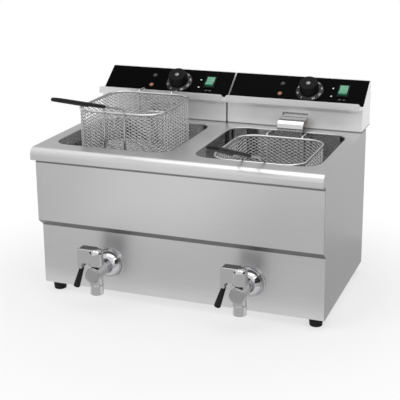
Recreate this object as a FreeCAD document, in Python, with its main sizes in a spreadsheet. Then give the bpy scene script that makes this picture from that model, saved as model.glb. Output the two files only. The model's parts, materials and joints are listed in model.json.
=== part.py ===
import FreeCAD, Part
import Sketcher

import math
import os
import re

from FreeCAD import Placement, Rotation, Vector

# Countertop electric deep fryer with two tanks. Millimetres; front is -Y, right is +X, up is +Z,
# and the origin lies on the floor below the middle of the overall box, handles included.

SIZES = {
    # From the origin back to the middle of the casing
    "frame_offset": 76.03,
    # Casing
    "body_width": 600.0,
    "body_depth": 331.0,
    "body_height": 299.0,
    "sheet": 1.2,
    "skirt_height": 127.0,
    "step_rise": 13.5,
    "step_out": 17.0,
    "lip_overhang": 20.0,
    "lip_drop": 25.5,
    "lip_radius": 14.0,
    "edge_radius": 0.9,
    # Feet
    "foot_height": 20.0,
    "foot_top_radius": 14.5,
    "foot_bottom_radius": 12.5,
    "foot_inset": 22.0,
    "foot_recess_depth": 9.0,
    "foot_screw_radius": 2.5,
    "foot_screw_head_radius": 5.0,
    "foot_screw_head_height": 4.0,
    "foot_nut_radius": 4.6,
    "foot_nut_height": 4.0,
    # Tanks
    "tank_width": 252.0,
    "tank_length": 256.0,
    "tank_depth": 150.0,
    "tank_corner": 36.0,
    "tank_floor_radius": 18.0,
    "tank_wall": 1.0,
    "tank_flange": 8.0,
    "tank_margin": 12.0,
    # Drains and taps
    "tap_level": 61.0,
    "drain_radius": 10.0,
    "drain_bore_radius": 8.0,
    "drain_bend": 25.0,
    "drain_setback": 70.0,
    "socket_depth": 22.0,
    "lock_nut_radius": 17.0,
    "lock_nut_height": 8.0,
    "escutcheon_radius": 33.0,
    "escutcheon_rim": 2.5,
    "escutcheon_height": 20.0,
    "tail_radius": 12.5,
    "barrel_radius": 15.5,
    "barrel_length": 34.0,
    "cap_thickness": 4.0,
    "cap_plug_length": 6.0,
    "spout_reach": 60.0,
    "spout_radius": 13.5,
    "spout_drop": 44.0,
    "spout_lip": 20.0,
    "spout_neck_radius": 13.0,
    "spout_wall": 3.5,
    "neck_radius": 10.0,
    "neck_top": 17.0,
    "packing_nut_radius": 9.5,
    "packing_nut_height": 6.0,
    "ball_radius": 10.0,
    "port_radius": 7.0,
    "stem_radius": 5.0,
    "stem_top": 46.0,
    # Tap levers
    "hub_radius": 15.0,
    "hub_bottom": 17.0,
    "lever_top": 51.0,
    "lever_reach": 36.0,
    "lever_width": 26.0,
    "lever_thickness": 8.0,
    "lever_arm_depth": 30.0,
    "lever_leg_bottom": 9.0,
    "lever_corner": 5.0,
    "tang_radius": 3.0,
    "tang_length": 38.0,
    "grip_lean": 18.0,
    "grip_length": 46.0,
    "grip_top_radius": 4.5,
    "grip_bottom_radius": 6.5,
    # Control heads
    "head_depth": 79.0,
    "head_overhang": 44.0,
    "head_height": 97.0,
    "head_gap": 4.0,
    "panel_setback": 8.0,
    "panel_rise": 43.0,
    "shelf_depth": 13.0,
    "fascia": 1.5,
    "cover_flange": 16.0,
    "cover_margin": 3.0,
    "louvre_length": 60.0,
    "louvre_height": 4.0,
    "louvre_pitch": 11.0,
    "cover_screw_radius": 2.0,
    "cover_screw_head_radius": 3.8,
    "cover_screw_head_height": 2.2,
    "cover_screw_length": 7.0,
    "gland_offset": 95.0,
    "gland_level": 32.0,
    "gland_bore_radius": 5.0,
    "gland_thread_radius": 8.0,
    "gland_thread_length": 10.0,
    "gland_nut_radius": 12.0,
    "gland_nut_height": 6.0,
    "gland_cap_radius": 9.5,
    "gland_cap_height": 12.0,
    # Basket rail and element hood
    "rail_level": 50.0,
    "rail_depth": 20.0,
    "rail_height": 15.0,
    "rail_flange": 10.0,
    "rail_inset": 1.5,
    "rail_corner": 4.5,
    "hood_width": 56.0,
    "hood_offset": 4.0,
    "hood_reach": 42.0,
    "hood_rise": 24.0,
    "hood_flange": 9.0,
    "hood_bend": 18.0,
    "hood_drop": 70.0,
    # Heating elements and sensors
    "element_radius": 4.0,
    "element_lift": 27.0,
    "element_bend": 12.0,
    "element_span": 100.0,
    "element_margin": 36.0,
    "element_turn": 40.0,
    "leg_level": 11.0,
    "leg_pitch": 14.0,
    "leg_tail": 30.0,
    "capillary_radius": 1.2,
    "bulb_radius": 2.4,
    "bulb_length": 90.0,
    # Controls on the sloped panel
    "dial_offset": 26.0,
    "dial_height": 33.0,
    "dial_radius": 30.0,
    "dial_rim": 1.2,
    "dial_rise": 5.0,
    "dial_bore_radius": 9.0,
    "knob_radius": 21.0,
    "knob_taper": 1.5,
    "knob_height": 20.0,
    "knob_lift": 0.8,
    "knob_groove_width": 1.6,
    "knob_groove_depth": 0.8,
    "spindle_radius": 3.0,
    "bush_radius": 5.0,
    "bush_height": 4.0,
    "thermostat_width": 36.0,
    "thermostat_length": 40.0,
    "thermostat_depth": 28.0,
    "lamp_offset": 37.0,
    "upper_lamp_height": 47.5,
    "lower_lamp_height": 19.0,
    "lamp_radius": 6.2,
    "lamp_rim": 1.4,
    "lamp_dome": 4.2,
    "lamp_body_radius": 4.6,
    "lamp_body_length": 14.0,
    "switch_offset": 99.0,
    "switch_height": 37.0,
    "bezel_width": 25.0,
    "bezel_length": 34.0,
    "bezel_height": 2.6,
    "switch_width": 22.0,
    "switch_length": 30.6,
    "switch_depth": 24.0,
    "rocker_width": 18.0,
    "rocker_length": 25.6,
    "rocker_rise": 7.0,
    "rocker_dip": 4.6,
    "rocker_depth": 6.0,
    "rocker_pivot": 0.5,
    "rocker_tilt": 8.0,
    "trunnion_radius": 1.6,
    "trunnion_length": 0.9,
    # Baskets
    "basket_width": 185.0,
    "basket_length": 200.0,
    "basket_depth": 110.5,
    "basket_corner": 40.0,
    "rim_radius": 2.5,
    "ring_radius": 2.0,
    "hook_radius": 2.0,
    "hook_pitch": 76.0,
    "hook_rise": 3.5,
    "hook_span": 29.5,
    "hook_drop": 10.0,
    "hook_bend": 3.5,
    "net_thickness": 1.6,
    "net_pitch": 15.0,
    "net_bar": 1.8,
    "hang_gap": 1.0,
    "hook_seat": 0.3,
    "sunk_gap": 7.5,
    "handle_radius": 2.0,
    "handle_pitch": 44.0,
    "handle_rise": 10.0,
    "left_handle_angle": 16.0,
    "right_handle_angle": 19.0,
    "handle_length": 245.0,
    "handle_bend": 10.0,
    "sleeve_pitch": 16.0,
    "sleeve_radius": 3.6,
    "sleeve_start": 78.0,
    # Fits
    "snug": 0.1,
    "clearance": 0.3,
}

# Positions shared by many pieces, as expressions of the sizes
FRONT = "(frame_offset - body_depth / 2)"
REAR = "(frame_offset + body_depth / 2)"
SIDE = "(body_width / 2)"
INSIDE = "(body_width / 2 - sheet)"
BOTTOM = "foot_height"
TOP = "(foot_height + body_height)"
UNDER_TOP = f"({TOP} - sheet)"
UPPER = f"({FRONT} - step_out)"
LIP = f"({UPPER} - lip_overhang)"
LIP_BOTTOM = f"({TOP} - lip_drop)"
STEP_LOW = f"({BOTTOM} + skirt_height)"
STEP_HIGH = f"({STEP_LOW} + step_rise)"
TANK_Y = f"({FRONT} + tank_margin + tank_length / 2)"
TANK_BACK = f"({TANK_Y} + tank_length / 2)"
TANK_FLOOR = f"({UNDER_TOP} - tank_depth)"
TAP_Z = f"({BOTTOM} + tap_level)"
STEM_Y = f"({FRONT} - spout_reach)"
BARREL_FRONT = "(-spout_reach - barrel_length / 2)"
HEAD_WIDTH = "(body_width / 2 - head_gap)"
HEAD_REAR = f"({REAR} + head_overhang)"
HEAD_TOP = f"({TOP} + head_height)"
SPLASH = f"({HEAD_REAR} - head_depth)"
PANEL_Y = f"({SPLASH} + panel_setback)"
PANEL_Z = f"({HEAD_TOP} - panel_rise)"
PANEL_TOP_Y = f"({HEAD_REAR} - shelf_depth)"
PANEL_RUN = "(head_depth - panel_setback - shelf_depth)"
SLOPE = f"atan(panel_rise / {PANEL_RUN})"
PANEL_LENGTH = f"sqrt(panel_rise^2 + {PANEL_RUN}^2)"
RAIL_Z = f"({TOP} + rail_level)"
RAIL_Y = f"({SPLASH} - rail_depth)"
HOOD_Y = f"({SPLASH} - hood_reach)"
HOOD_Z = f"({TOP} + hood_rise)"
LEG_Y = f"(({HOOD_Y} + sheet + {TANK_BACK}) / 2)"
LEG_Z = f"({TOP} + leg_level)"
ELEMENT_Z = f"({TANK_FLOOR} + element_lift)"
HUNG_Y = f"({HOOD_Y} - hang_gap - 2 * hook_radius - rim_radius - basket_length / 2)"
HUNG_Z = f"({RAIL_Z} + rail_height + hook_seat + hook_radius - hook_rise)"
SUNK_Y = f"({TANK_BACK} - sunk_gap - hook_span - 2 * hook_radius - rim_radius - basket_length / 2)"
SUNK_Z = f"({ELEMENT_Z} + element_radius + clearance + 2 * hook_radius + basket_depth)"

SIDES = {"left": "(-body_width / 4)", "right": "(body_width / 4)"}
CORNERS = [(x, y) for x in (-1, 1) for y in (-1, 1)]
CORNER_STRIPS = 3

doc = FreeCAD.newDocument("Fryer")
sheet = doc.addObject("Spreadsheet::Sheet", "Sizes")
for row, (alias, value) in enumerate(SIZES.items(), start=1):
    sheet.set(f"A{row}", alias)
    sheet.set(f"B{row}", str(value))
    sheet.setAlias(f"B{row}", alias)
doc.recompute()

pieces = []


def sized(expression):
    """Return the expression with every size name pointed at its cell."""
    return re.sub(r"[a-z_]+", lambda m: f"Sizes.{m[0]}" if m[0] in SIZES else m[0], expression)


def size(expression):
    """Return the expression's value as a number."""
    value = sheet.evalExpression(sized(expression))
    return float(getattr(value, "Value", value))


def bind(obj, **expressions):
    """Bind properties of an object to expressions of the sizes."""
    for name, expression in expressions.items():
        obj.setExpression(name, sized(expression))
    return obj


def place(obj, x="0", y="0", z="0"):
    """Bind an object's position."""
    for axis, expression in zip("xyz", (x, y, z)):
        obj.setExpression(f".Placement.Base.{axis}", sized(expression))
    return obj


def turn(obj, axis, angle):
    """Bind an object's rotation about an axis."""
    obj.Placement = Placement(Vector(), Rotation(axis, size(angle)))
    obj.setExpression(".Placement.Rotation.Angle", sized(angle))
    return obj


def on_panel(obj, side, across="0", up="0", out="0"):
    """Place an object that was built flat onto a head's sloped panel."""
    turn(obj, Vector(1, 0, 0), SLOPE)
    y = f"{PANEL_Y} + ({up}) * cos({SLOPE}) - ({out}) * sin({SLOPE})"
    z = f"{PANEL_Z} + ({up}) * sin({SLOPE}) + ({out}) * cos({SLOPE})"
    return place(obj, f"{SIDES[side]} + {across}", y, z)


def keep(obj, label):
    """Register a finished piece under the name of its file."""
    obj.Label = label
    pieces.append(obj)
    return obj


def box(x, y, z):
    """Return a box from (low, high) pairs."""
    obj = doc.addObject("Part::Box", "Block")
    bind(obj, Length=f"{x[1]} - ({x[0]})", Width=f"{y[1]} - ({y[0]})", Height=f"{z[1]} - ({z[0]})")
    return place(obj, x[0], y[0], z[0])


def aligned(obj, axis, low, across):
    """Place a round primitive along an axis, starting at low and centred at across."""
    first, second = across
    if axis == "x":
        obj.Placement.Rotation = Rotation(Vector(0, 1, 0), 90)
        return place(obj, low, first, second)
    if axis == "y":
        obj.Placement.Rotation = Rotation(Vector(1, 0, 0), -90)
        return place(obj, first, low, second)
    return place(obj, first, second, low)


def rod(radius, low, high, axis="z", across=("0", "0")):
    """Return a cylinder along an axis."""
    obj = doc.addObject("Part::Cylinder", "Rod")
    bind(obj, Radius=radius, Height=f"{high} - ({low})")
    return aligned(obj, axis, low, across)


def hexagon(radius, low, high, axis="z", across=("0", "0")):
    """Return a hexagonal prism along an axis."""
    obj = doc.addObject("Part::Prism", "Hexagon")
    obj.Polygon = 6
    bind(obj, Circumradius=radius, Height=f"{high} - ({low})")
    return aligned(obj, axis, low, across)


def cone(low_radius, high_radius, low, high, across=("0", "0")):
    """Return an upright cone."""
    obj = doc.addObject("Part::Cone", "Cone")
    bind(obj, Radius1=low_radius, Radius2=high_radius, Height=f"{high} - ({low})")
    return aligned(obj, "z", low, across)


def ball(radius, x="0", y="0", z="0"):
    """Return a sphere."""
    obj = doc.addObject("Part::Sphere", "Ball")
    return place(bind(obj, Radius=radius), x, y, z)


def fuse(*shapes):
    """Return the union of several objects."""
    obj = doc.addObject("Part::MultiFuse", "Union")
    obj.Shapes = list(shapes)
    return obj


def cut(base, *tools):
    """Return an object with the tools taken away."""
    obj = doc.addObject("Part::Cut", "Cut")
    obj.Base = base
    obj.Tool = tools[0] if len(tools) == 1 else fuse(*tools)
    return obj


def group(*shapes):
    """Return separate solids as one object."""
    obj = doc.addObject("Part::Compound", "Group")
    obj.Links = list(shapes)
    return obj


def rounded(base, radius, chosen):
    """Return an object with the chosen edges filleted."""
    doc.recompute()
    obj = doc.addObject("Part::Fillet", "Rounded")
    obj.Base = base
    edges = base.Shape.Edges
    obj.Edges = [(i, size(radius), size(radius)) for i, edge in enumerate(edges, 1) if chosen(edge)]
    return obj


def sketch_in(body, role):
    """Return a new sketch on one of a body's own planes."""
    sketch = body.newObject("Sketcher::SketchObject", "Outline")
    plane = next(item for item in body.Origin.OriginFeatures if item.Role == role)
    sketch.AttachmentSupport = [(plane, "")]
    sketch.MapMode = "FlatFace"
    return sketch


def constrain(sketch, expression, *arguments):
    """Add a dimension to a sketch and bind it."""
    index = sketch.addConstraint(Sketcher.Constraint(*arguments, size(expression)))
    sketch.setExpression(f"Constraints[{index}]", sized(expression))


def add_outline(sketch, points):
    """Draw a closed outline; a third item is the radius of the arc that leads to the point."""
    spots = [Vector(size(point[0]), size(point[1]), 0) for point in points]
    starts, ends = [], []
    for index, point in enumerate(points):
        begin, end = spots[index - 1], spots[index]
        if len(point) == 2:
            sketch.addGeometry(Part.LineSegment(begin, end))
            starts.append(1)
            ends.append(2)
            continue
        chord = end - begin
        radius = size(point[2])
        height = math.sqrt(radius**2 - chord.Length**2 / 4)
        normal = Vector(chord.y, -chord.x, 0).normalize()
        middle = (begin + end) / 2 + normal * (radius - height)
        sketch.addGeometry(Part.Arc(begin, middle, end))
        counter = sketch.Geometry[-1].StartPoint.distanceToPoint(begin) < 1e-6
        starts.append(1 if counter else 2)
        ends.append(2 if counter else 1)
        constrain(sketch, point[2], "Radius", index)
    for index, point in enumerate(points):
        follow = (index + 1) % len(points)
        joint = ("Coincident", index, ends[index], follow, starts[follow])
        sketch.addConstraint(Sketcher.Constraint(*joint))
        constrain(sketch, point[0], "DistanceX", -1, 1, index, ends[index])
        constrain(sketch, point[1], "DistanceY", -1, 1, index, ends[index])


def folded(points, low, high, bends=()):
    """Return a profile in Y and Z padded along X, with (y, z, radius) bends rounded."""
    body = doc.addObject("PartDesign::Body", "Folded")
    sketch = sketch_in(body, "YZ_Plane")
    add_outline(sketch, points)
    pad = body.newObject("PartDesign::Pad", "Width")
    pad.Profile = sketch
    bind(pad, Length=f"{high} - ({low})")
    for y, z, radius in bends:
        doc.recompute()
        spot = (size(y), size(z))
        base = body.Tip
        names = []
        for index, edge in enumerate(base.Shape.Edges, 1):
            ends = [(vertex.Point.y, vertex.Point.z) for vertex in edge.Vertexes]
            if len(ends) == 2 and all(math.dist(end, spot) < 1e-4 for end in ends):
                names.append(f"Edge{index}")
        fillet = body.newObject("PartDesign::Fillet", "Bend")
        fillet.Base = (base, names)
        bind(fillet, Radius=radius)
        body.Tip = fillet
    return place(body, low)


def turned(points):
    """Return a profile of radius and height revolved about Z."""
    body = doc.addObject("PartDesign::Body", "Turned")
    sketch = sketch_in(body, "XZ_Plane")
    add_outline(sketch, points)
    revolution = body.newObject("PartDesign::Revolution", "Turn")
    revolution.Profile = sketch
    revolution.ReferenceAxis = (sketch, ["V_Axis"])
    revolution.Angle = 360
    return body


def add_rounded_rectangle(sketch, width, length, corner):
    """Draw a rounded rectangle centred on the sketch's origin."""
    radius = size(corner)
    x, y = size(width) / 2, size(length) / 2
    a, b = x - radius, y - radius
    lines = [((-a, -y), (a, -y)), ((x, -b), (x, b)), ((a, y), (-a, y)), ((-x, b), (-x, -b))]
    for begin, end in lines:
        sketch.addGeometry(Part.LineSegment(Vector(*begin, 0), Vector(*end, 0)))
    for index, centre in enumerate([(a, -b), (a, b), (-a, b), (-a, -b)]):
        circle = Part.Circle(Vector(*centre, 0), Vector(0, 0, 1), radius)
        begin = math.radians(90 * (index - 1))
        sketch.addGeometry(Part.ArcOfCircle(circle, begin, begin + math.pi / 2))
    for index in range(4):
        sketch.addConstraint(Sketcher.Constraint("Tangent", index, 2, 4 + index, 1))
        sketch.addConstraint(Sketcher.Constraint("Tangent", 4 + index, 2, (index + 1) % 4, 1))
        direction = "Vertical" if index % 2 else "Horizontal"
        sketch.addConstraint(Sketcher.Constraint(direction, index))
    for index in (5, 6, 7):
        sketch.addConstraint(Sketcher.Constraint("Equal", 4, index))
    sketch.addConstraint(Sketcher.Constraint("Symmetric", 4, 3, 6, 3, -1, 1))
    constrain(sketch, width, "DistanceX", 3, 1, 1, 1)
    constrain(sketch, length, "DistanceY", 0, 1, 2, 1)
    constrain(sketch, corner, "Radius", 4)


def slab(width, length, corner, height, floor_radius=None):
    """Return a block with rounded corners standing on Z = 0, its lower edge optionally rounded."""
    body = doc.addObject("PartDesign::Body", "Slab")
    sketch = sketch_in(body, "XY_Plane")
    add_rounded_rectangle(sketch, width, length, corner)
    pad = body.newObject("PartDesign::Pad", "Height")
    pad.Profile = sketch
    bind(pad, Length=height)
    if floor_radius:
        doc.recompute()
        edges = enumerate(pad.Shape.Edges, 1)
        names = [f"Edge{i}" for i, edge in edges if all(abs(v.Z) < 1e-6 for v in edge.Vertexes)]
        fillet = body.newObject("PartDesign::Fillet", "Floor")
        fillet.Base = (pad, names)
        bind(fillet, Radius=floor_radius)
        body.Tip = fillet
    return body


def bent_path(points, bends):
    """Return a wire through points whose inner corners are rounded by the given radii."""
    edges = []
    begin = points[0]
    for before, corner, after, radius in zip(points, points[1:], points[2:], bends):
        inward = (before - corner).normalize()
        onward = (after - corner).normalize()
        half = inward.getAngle(onward) / 2
        reach = radius / math.tan(half)
        centre = corner + (inward + onward).normalize() * (radius / math.sin(half))
        entry = corner + inward * reach
        leave = corner + onward * reach
        middle = centre + (corner - centre).normalize() * radius
        if entry.distanceToPoint(begin) > 1e-6:
            edges.append(Part.LineSegment(begin, entry).toShape())
        edges.append(Part.Arc(entry, middle, leave).toShape())
        begin = leave
    edges.append(Part.LineSegment(begin, points[-1]).toShape())
    return Part.Wire(edges)


def swept(path, radius):
    """Return a round bar along a wire."""
    first = path.OrderedEdges[0]
    spot = first.valueAt(first.FirstParameter)
    circle = Part.Circle(spot, first.tangentAt(first.FirstParameter), radius)
    return path.makePipeShell([Part.Wire(circle.toShape())], True, False)


def shaped(shape):
    """Return an object that carries a shape worked out from the sheet."""
    obj = doc.addObject("Part::Feature", "Form")
    obj.Shape = shape
    return obj


# Casing


def make_top_plate():
    outline = [
        (REAR, TOP),
        (LIP, TOP),
        (LIP, LIP_BOTTOM),
        (UPPER, LIP_BOTTOM),
        (UPPER, f"{LIP_BOTTOM} + sheet"),
        (f"{LIP} + sheet", f"{LIP_BOTTOM} + sheet"),
        (f"{LIP} + sheet", UNDER_TOP),
        (REAR, UNDER_TOP),
    ]
    bends = [
        (LIP, TOP, "lip_radius"),
        (f"{LIP} + sheet", UNDER_TOP, "lip_radius - sheet"),
        (LIP, LIP_BOTTOM, "2 * sheet"),
        (f"{LIP} + sheet", f"{LIP_BOTTOM} + sheet", "sheet"),
    ]
    plate = folded(outline, f"-{SIDE}", SIDE, bends)
    openings = []
    for centre in SIDES.values():
        opening = slab("tank_width", "tank_length", "tank_corner", "lip_drop")
        openings.append(place(opening, centre, TANK_Y, f"{TOP} - lip_drop / 2"))
    opened = cut(plate, *openings)
    low, high = size(FRONT), size(TANK_BACK)
    level = size(TOP)

    def is_rim(edge):
        bounds = edge.BoundBox
        inside = abs(edge.CenterOfMass.x) < size(SIDE) - 1 and low < bounds.YMin and bounds.YMax < high + 1
        return inside and abs(bounds.ZMin - level) < 1e-3 and abs(bounds.ZMax - level) < 1e-3

    keep(rounded(opened, "edge_radius", is_rim), "top_plate")


def make_front_panel():
    face = [(FRONT, BOTTOM), (FRONT, STEP_LOW), (UPPER, STEP_HIGH), (UPPER, UNDER_TOP)]
    outline = face + [(f"{y} + sheet", z) for y, z in reversed(face)]
    panel = folded(outline, f"-{INSIDE}", INSIDE)
    holes = []
    for centre in SIDES.values():
        hole = rod("drain_radius + clearance", f"{FRONT} - 1", f"{FRONT} + sheet + 1", "y", (centre, TAP_Z))
        holes.append(hole)
    keep(cut(panel, *holes), "front_panel")


def make_side_panels():
    outline = [
        (FRONT, BOTTOM),
        (FRONT, STEP_LOW),
        (UPPER, STEP_HIGH),
        (UPPER, f"{LIP_BOTTOM} + sheet"),
        (f"{LIP} + sheet", f"{LIP_BOTTOM} + sheet"),
        (f"{LIP} + sheet", UNDER_TOP),
        (REAR, UNDER_TOP),
        (REAR, BOTTOM),
    ]
    bends = [
        (f"{LIP} + sheet", UNDER_TOP, "lip_radius - sheet"),
        (f"{LIP} + sheet", f"{LIP_BOTTOM} + sheet", "sheet"),
    ]
    keep(folded(outline, f"-{SIDE}", f"-{INSIDE}", bends), "left_side_panel")
    keep(folded(outline, INSIDE, SIDE, bends), "right_side_panel")


def make_rear_panel():
    panel = box((f"-{INSIDE}", INSIDE), (f"{REAR} - sheet", REAR), (BOTTOM, UNDER_TOP))
    slots = []
    for centre in SIDES.values():
        for line in range(8):
            low = f"{TAP_Z} + {line} * louvre_pitch"
            x = (f"{centre} - louvre_length", f"{centre} + louvre_length")
            slots.append(box(x, (f"{REAR} - 2 * sheet", f"{REAR} + sheet"), (low, f"{low} + louvre_height")))
    keep(cut(panel, *slots), "rear_panel")


def foot_spot(x, y):
    """Return a foot's centre."""
    return f"{x} * ({SIDE} - foot_inset)", f"frame_offset + {y} * (body_depth / 2 - foot_inset)"


def make_base_plate():
    deep = (f"{FRONT} + sheet", f"{REAR} - sheet")
    plate = box((f"-{INSIDE}", INSIDE), deep, (BOTTOM, f"{BOTTOM} + sheet"))
    through = (f"{BOTTOM} - 1", f"{BOTTOM} + sheet + 1")
    holes = []
    for corner in CORNERS:
        holes.append(rod("foot_screw_radius + clearance", *through, "z", foot_spot(*corner)))
    keep(cut(plate, *holes), "base_plate")


def make_feet():
    feet, screws = [], []
    for corner in CORNERS:
        spot = foot_spot(*corner)
        foot = cone("foot_bottom_radius", "foot_top_radius", "0", "foot_height", spot)
        recess = rod("foot_screw_head_radius + 1", "-1", "foot_recess_depth", "z", spot)
        hole = rod("foot_screw_radius + clearance", "0", "foot_height + 1", "z", spot)
        feet.append(cut(foot, recess, hole))
        head_low = "foot_recess_depth - foot_screw_head_height"
        head = rod("foot_screw_head_radius", head_low, "foot_recess_depth", "z", spot)
        nut_low = f"{BOTTOM} + sheet"
        nut_high = f"{nut_low} + foot_nut_height"
        shank = rod("foot_screw_radius", head_low, f"{nut_high} + 2", "z", spot)
        screws.append(fuse(head, shank, hexagon("foot_nut_radius", nut_low, nut_high, "z", spot)))
    keep(group(*feet), "rubber_feet")
    keep(group(*screws), "foot_screws")


def make_tank(side):
    wall = "2 * tank_wall"
    outer = slab(
        f"tank_width + {wall}", f"tank_length + {wall}", "tank_corner + tank_wall",
        "tank_depth + tank_wall", "tank_floor_radius + tank_wall",
    )
    place(outer, "0", "0", "-tank_wall")
    rim = "2 * tank_wall + 2 * tank_flange"
    flange = slab(
        f"tank_width + {rim}", f"tank_length + {rim}", "tank_corner + tank_wall + tank_flange", "tank_wall"
    )
    place(flange, "0", "0", "tank_depth - tank_wall")
    inner = slab("tank_width", "tank_length", "tank_corner", "tank_depth + 1", "tank_floor_radius")
    drain_y = "drain_setback - tank_margin - tank_length / 2"
    drain = rod("drain_bore_radius", "-tank_wall - 1", "1", "z", ("0", drain_y))
    tank = cut(fuse(outer, flange), inner, drain)
    keep(place(tank, SIDES[side], TANK_Y, TANK_FLOOR), f"{side}_tank")


# Drains and taps, built about the point where the tap's axis meets the front panel


def at_tap(obj, side):
    """Place an object that was built about its tap's axis on the panel."""
    return place(obj, SIDES[side], FRONT, TAP_Z)


def make_drain_pipe(side):
    corner = Vector(0, size("drain_setback"), 0)
    points = [
        Vector(0, -size("socket_depth"), 0),
        corner,
        corner + Vector(0, 0, size(f"{TANK_FLOOR} - tank_wall - {TAP_Z}")),
    ]
    path = bent_path(points, [size("drain_bend")])
    pipe = swept(path, size("drain_radius")).cut(swept(path, size("drain_bore_radius")))
    return at_tap(shaped(pipe), side)


def make_lock_nut(side):
    low = "sheet"
    high = f"{low} + lock_nut_height"
    nut = hexagon("lock_nut_radius", low, high, "y")
    return at_tap(cut(nut, rod("drain_radius + clearance", "0", f"{high} + 1", "y")), side)


def make_escutcheon(side):
    bore = "tail_radius + clearance"
    rise = "escutcheon_height"
    outline = [
        (bore, "0"),
        ("escutcheon_radius", "0"),
        ("escutcheon_radius", "escutcheon_rim"),
        ("escutcheon_radius - escutcheon_rim", "escutcheon_rim"),
        ("escutcheon_radius - escutcheon_rim", "2 * escutcheon_rim"),
        ("escutcheon_radius - 2 * escutcheon_rim", "2 * escutcheon_rim"),
        ("tail_radius + 4", rise, "escutcheon_radius"),
        (bore, rise),
    ]
    dome = turned(outline)
    dome.Placement.Rotation = Rotation(Vector(1, 0, 0), 90)
    return at_tap(dome, side)


def make_valve_body(side):
    stem = ("0", "-spout_reach")
    barrel_back = "-spout_reach + barrel_length / 2"
    tail = rod("tail_radius", BARREL_FRONT, "0", "y")
    barrel = rod("barrel_radius", BARREL_FRONT, barrel_back, "y")
    lip_top = "-spout_drop + spout_lip"
    spout = rod("spout_neck_radius", lip_top, "0", "z", stem)
    lip = rod("spout_radius", "-spout_drop", lip_top, "z", stem)
    neck = rod("neck_radius", "0", "neck_top", "z", stem)
    bores = [
        rod("drain_radius + snug", "-socket_depth", "1", "y"),
        rod("drain_bore_radius", "-spout_reach", "0", "y"),
        rod("spout_radius - spout_wall", "-spout_drop - 1", "0", "z", stem),
        rod("stem_radius + clearance", "0", "neck_top + 1", "z", stem),
        rod("ball_radius + clearance", f"{BARREL_FRONT} - 1", "-spout_reach", "y"),
        ball("ball_radius + clearance", "0", "-spout_reach"),
    ]
    body = cut(fuse(tail, barrel, spout, lip, neck), *bores)
    keep(at_tap(body, side), f"{side}_valve_body")


def make_valve_cap(side):
    disc = rod("barrel_radius - 0.5", f"{BARREL_FRONT} - cap_thickness", BARREL_FRONT, "y")
    plug = rod("ball_radius", f"{BARREL_FRONT} - 1", f"{BARREL_FRONT} + cap_plug_length", "y")
    front = size(f"{BARREL_FRONT} - cap_thickness")

    def is_front(edge):
        return abs(edge.BoundBox.YMax - front) < 1e-3

    return at_tap(rounded(fuse(disc, plug), "cap_thickness / 3", is_front), side)


def make_packing_nut(side):
    stem = ("0", "-spout_reach")
    high = "neck_top + packing_nut_height"
    nut = hexagon("packing_nut_radius", "neck_top", high, "z", stem)
    return at_tap(cut(nut, rod("stem_radius + clearance", "neck_top - 1", f"{high} + 1", "z", stem)), side)


def at_stem(obj, side):
    """Place an object that was built about its lever's stem on the tap's axis."""
    return place(obj, SIDES[side], STEM_Y, TAP_Z)


def make_valve_ball(side):
    turned_ball = ball("ball_radius")
    stem = rod("stem_radius", "0", "stem_top")
    down = rod("port_radius", "-ball_radius - 1", "0")
    across = rod("port_radius", "0", "ball_radius + 1", "x")
    ported = cut(fuse(turned_ball, stem), down, across)
    keep(at_stem(ported, side), f"{side}_valve_ball")


def make_lever(side):
    inner = "-lever_reach + lever_thickness"
    under = "lever_top - lever_arm_depth"
    outline = [
        ("0", "lever_top"),
        ("-lever_reach", "lever_top"),
        ("-lever_reach", "lever_leg_bottom"),
        (inner, "lever_leg_bottom"),
        (inner, under),
        ("0", under),
    ]
    bends = [("-lever_reach", "lever_top", "lever_corner"), (inner, under, "lever_corner / 3")]
    arm = folded(outline, "0", "lever_width", bends)
    arm.Placement.Rotation = Rotation(Vector(0, 0, 1), -90)
    place(arm, "0", "lever_width / 2")
    hub = rod("hub_radius", "hub_bottom", "lever_top")
    tang = rod("tang_radius", "-tang_length", "2")
    turn(tang, Vector(0, 1, 0), "grip_lean")
    place(tang, "-lever_reach + lever_thickness / 2", "0", "lever_leg_bottom")
    pocket_top = "neck_top + packing_nut_height + 2"
    pocket = rod("packing_nut_radius + 1.5", "hub_bottom - 1", pocket_top)
    bore = rod("stem_radius + snug", "0", "stem_top + snug")
    lever = cut(fuse(hub, arm, tang), pocket, bore)
    keep(at_stem(lever, side), f"{side}_drain_lever")


def make_lever_grip(side):
    bore = "tang_radius + snug"
    end = "tang_length + 1"
    top = "-grip_top_radius * sin(grip_lean * 1 deg) - snug"
    outline = [
        (bore, top),
        ("grip_top_radius", top),
        ("grip_bottom_radius", "-grip_length + grip_bottom_radius"),
        ("0", "-grip_length", "grip_bottom_radius"),
        ("0", f"-({end})"),
        (bore, f"-({end})"),
    ]
    grip = turned(outline)
    turn(grip, Vector(0, 1, 0), "grip_lean")
    x = f"{SIDES[side]} - lever_reach + lever_thickness / 2"
    keep(place(grip, x, STEM_Y, f"{TAP_Z} + lever_leg_bottom"), f"{side}_lever_grip")


# Control heads


def panel_cutouts():
    """Return the holes of a control panel, built flat about the middle of its lower edge."""
    depth = ("-4 * sheet", "4 * sheet")
    lamp = "lamp_body_radius + clearance"
    half_x, half_y = "(switch_width / 2 + clearance)", "(switch_length / 2 + clearance)"
    switch_x = (f"switch_offset - {half_x}", f"switch_offset + {half_x}")
    switch_y = (f"switch_height - {half_y}", f"switch_height + {half_y}")
    return [
        rod("bush_radius + clearance", *depth, "z", ("dial_offset", "dial_height")),
        rod(lamp, *depth, "z", ("-lamp_offset", "upper_lamp_height")),
        rod(lamp, *depth, "z", ("-lamp_offset", "lower_lamp_height")),
        box(switch_x, switch_y, depth),
    ]


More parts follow.
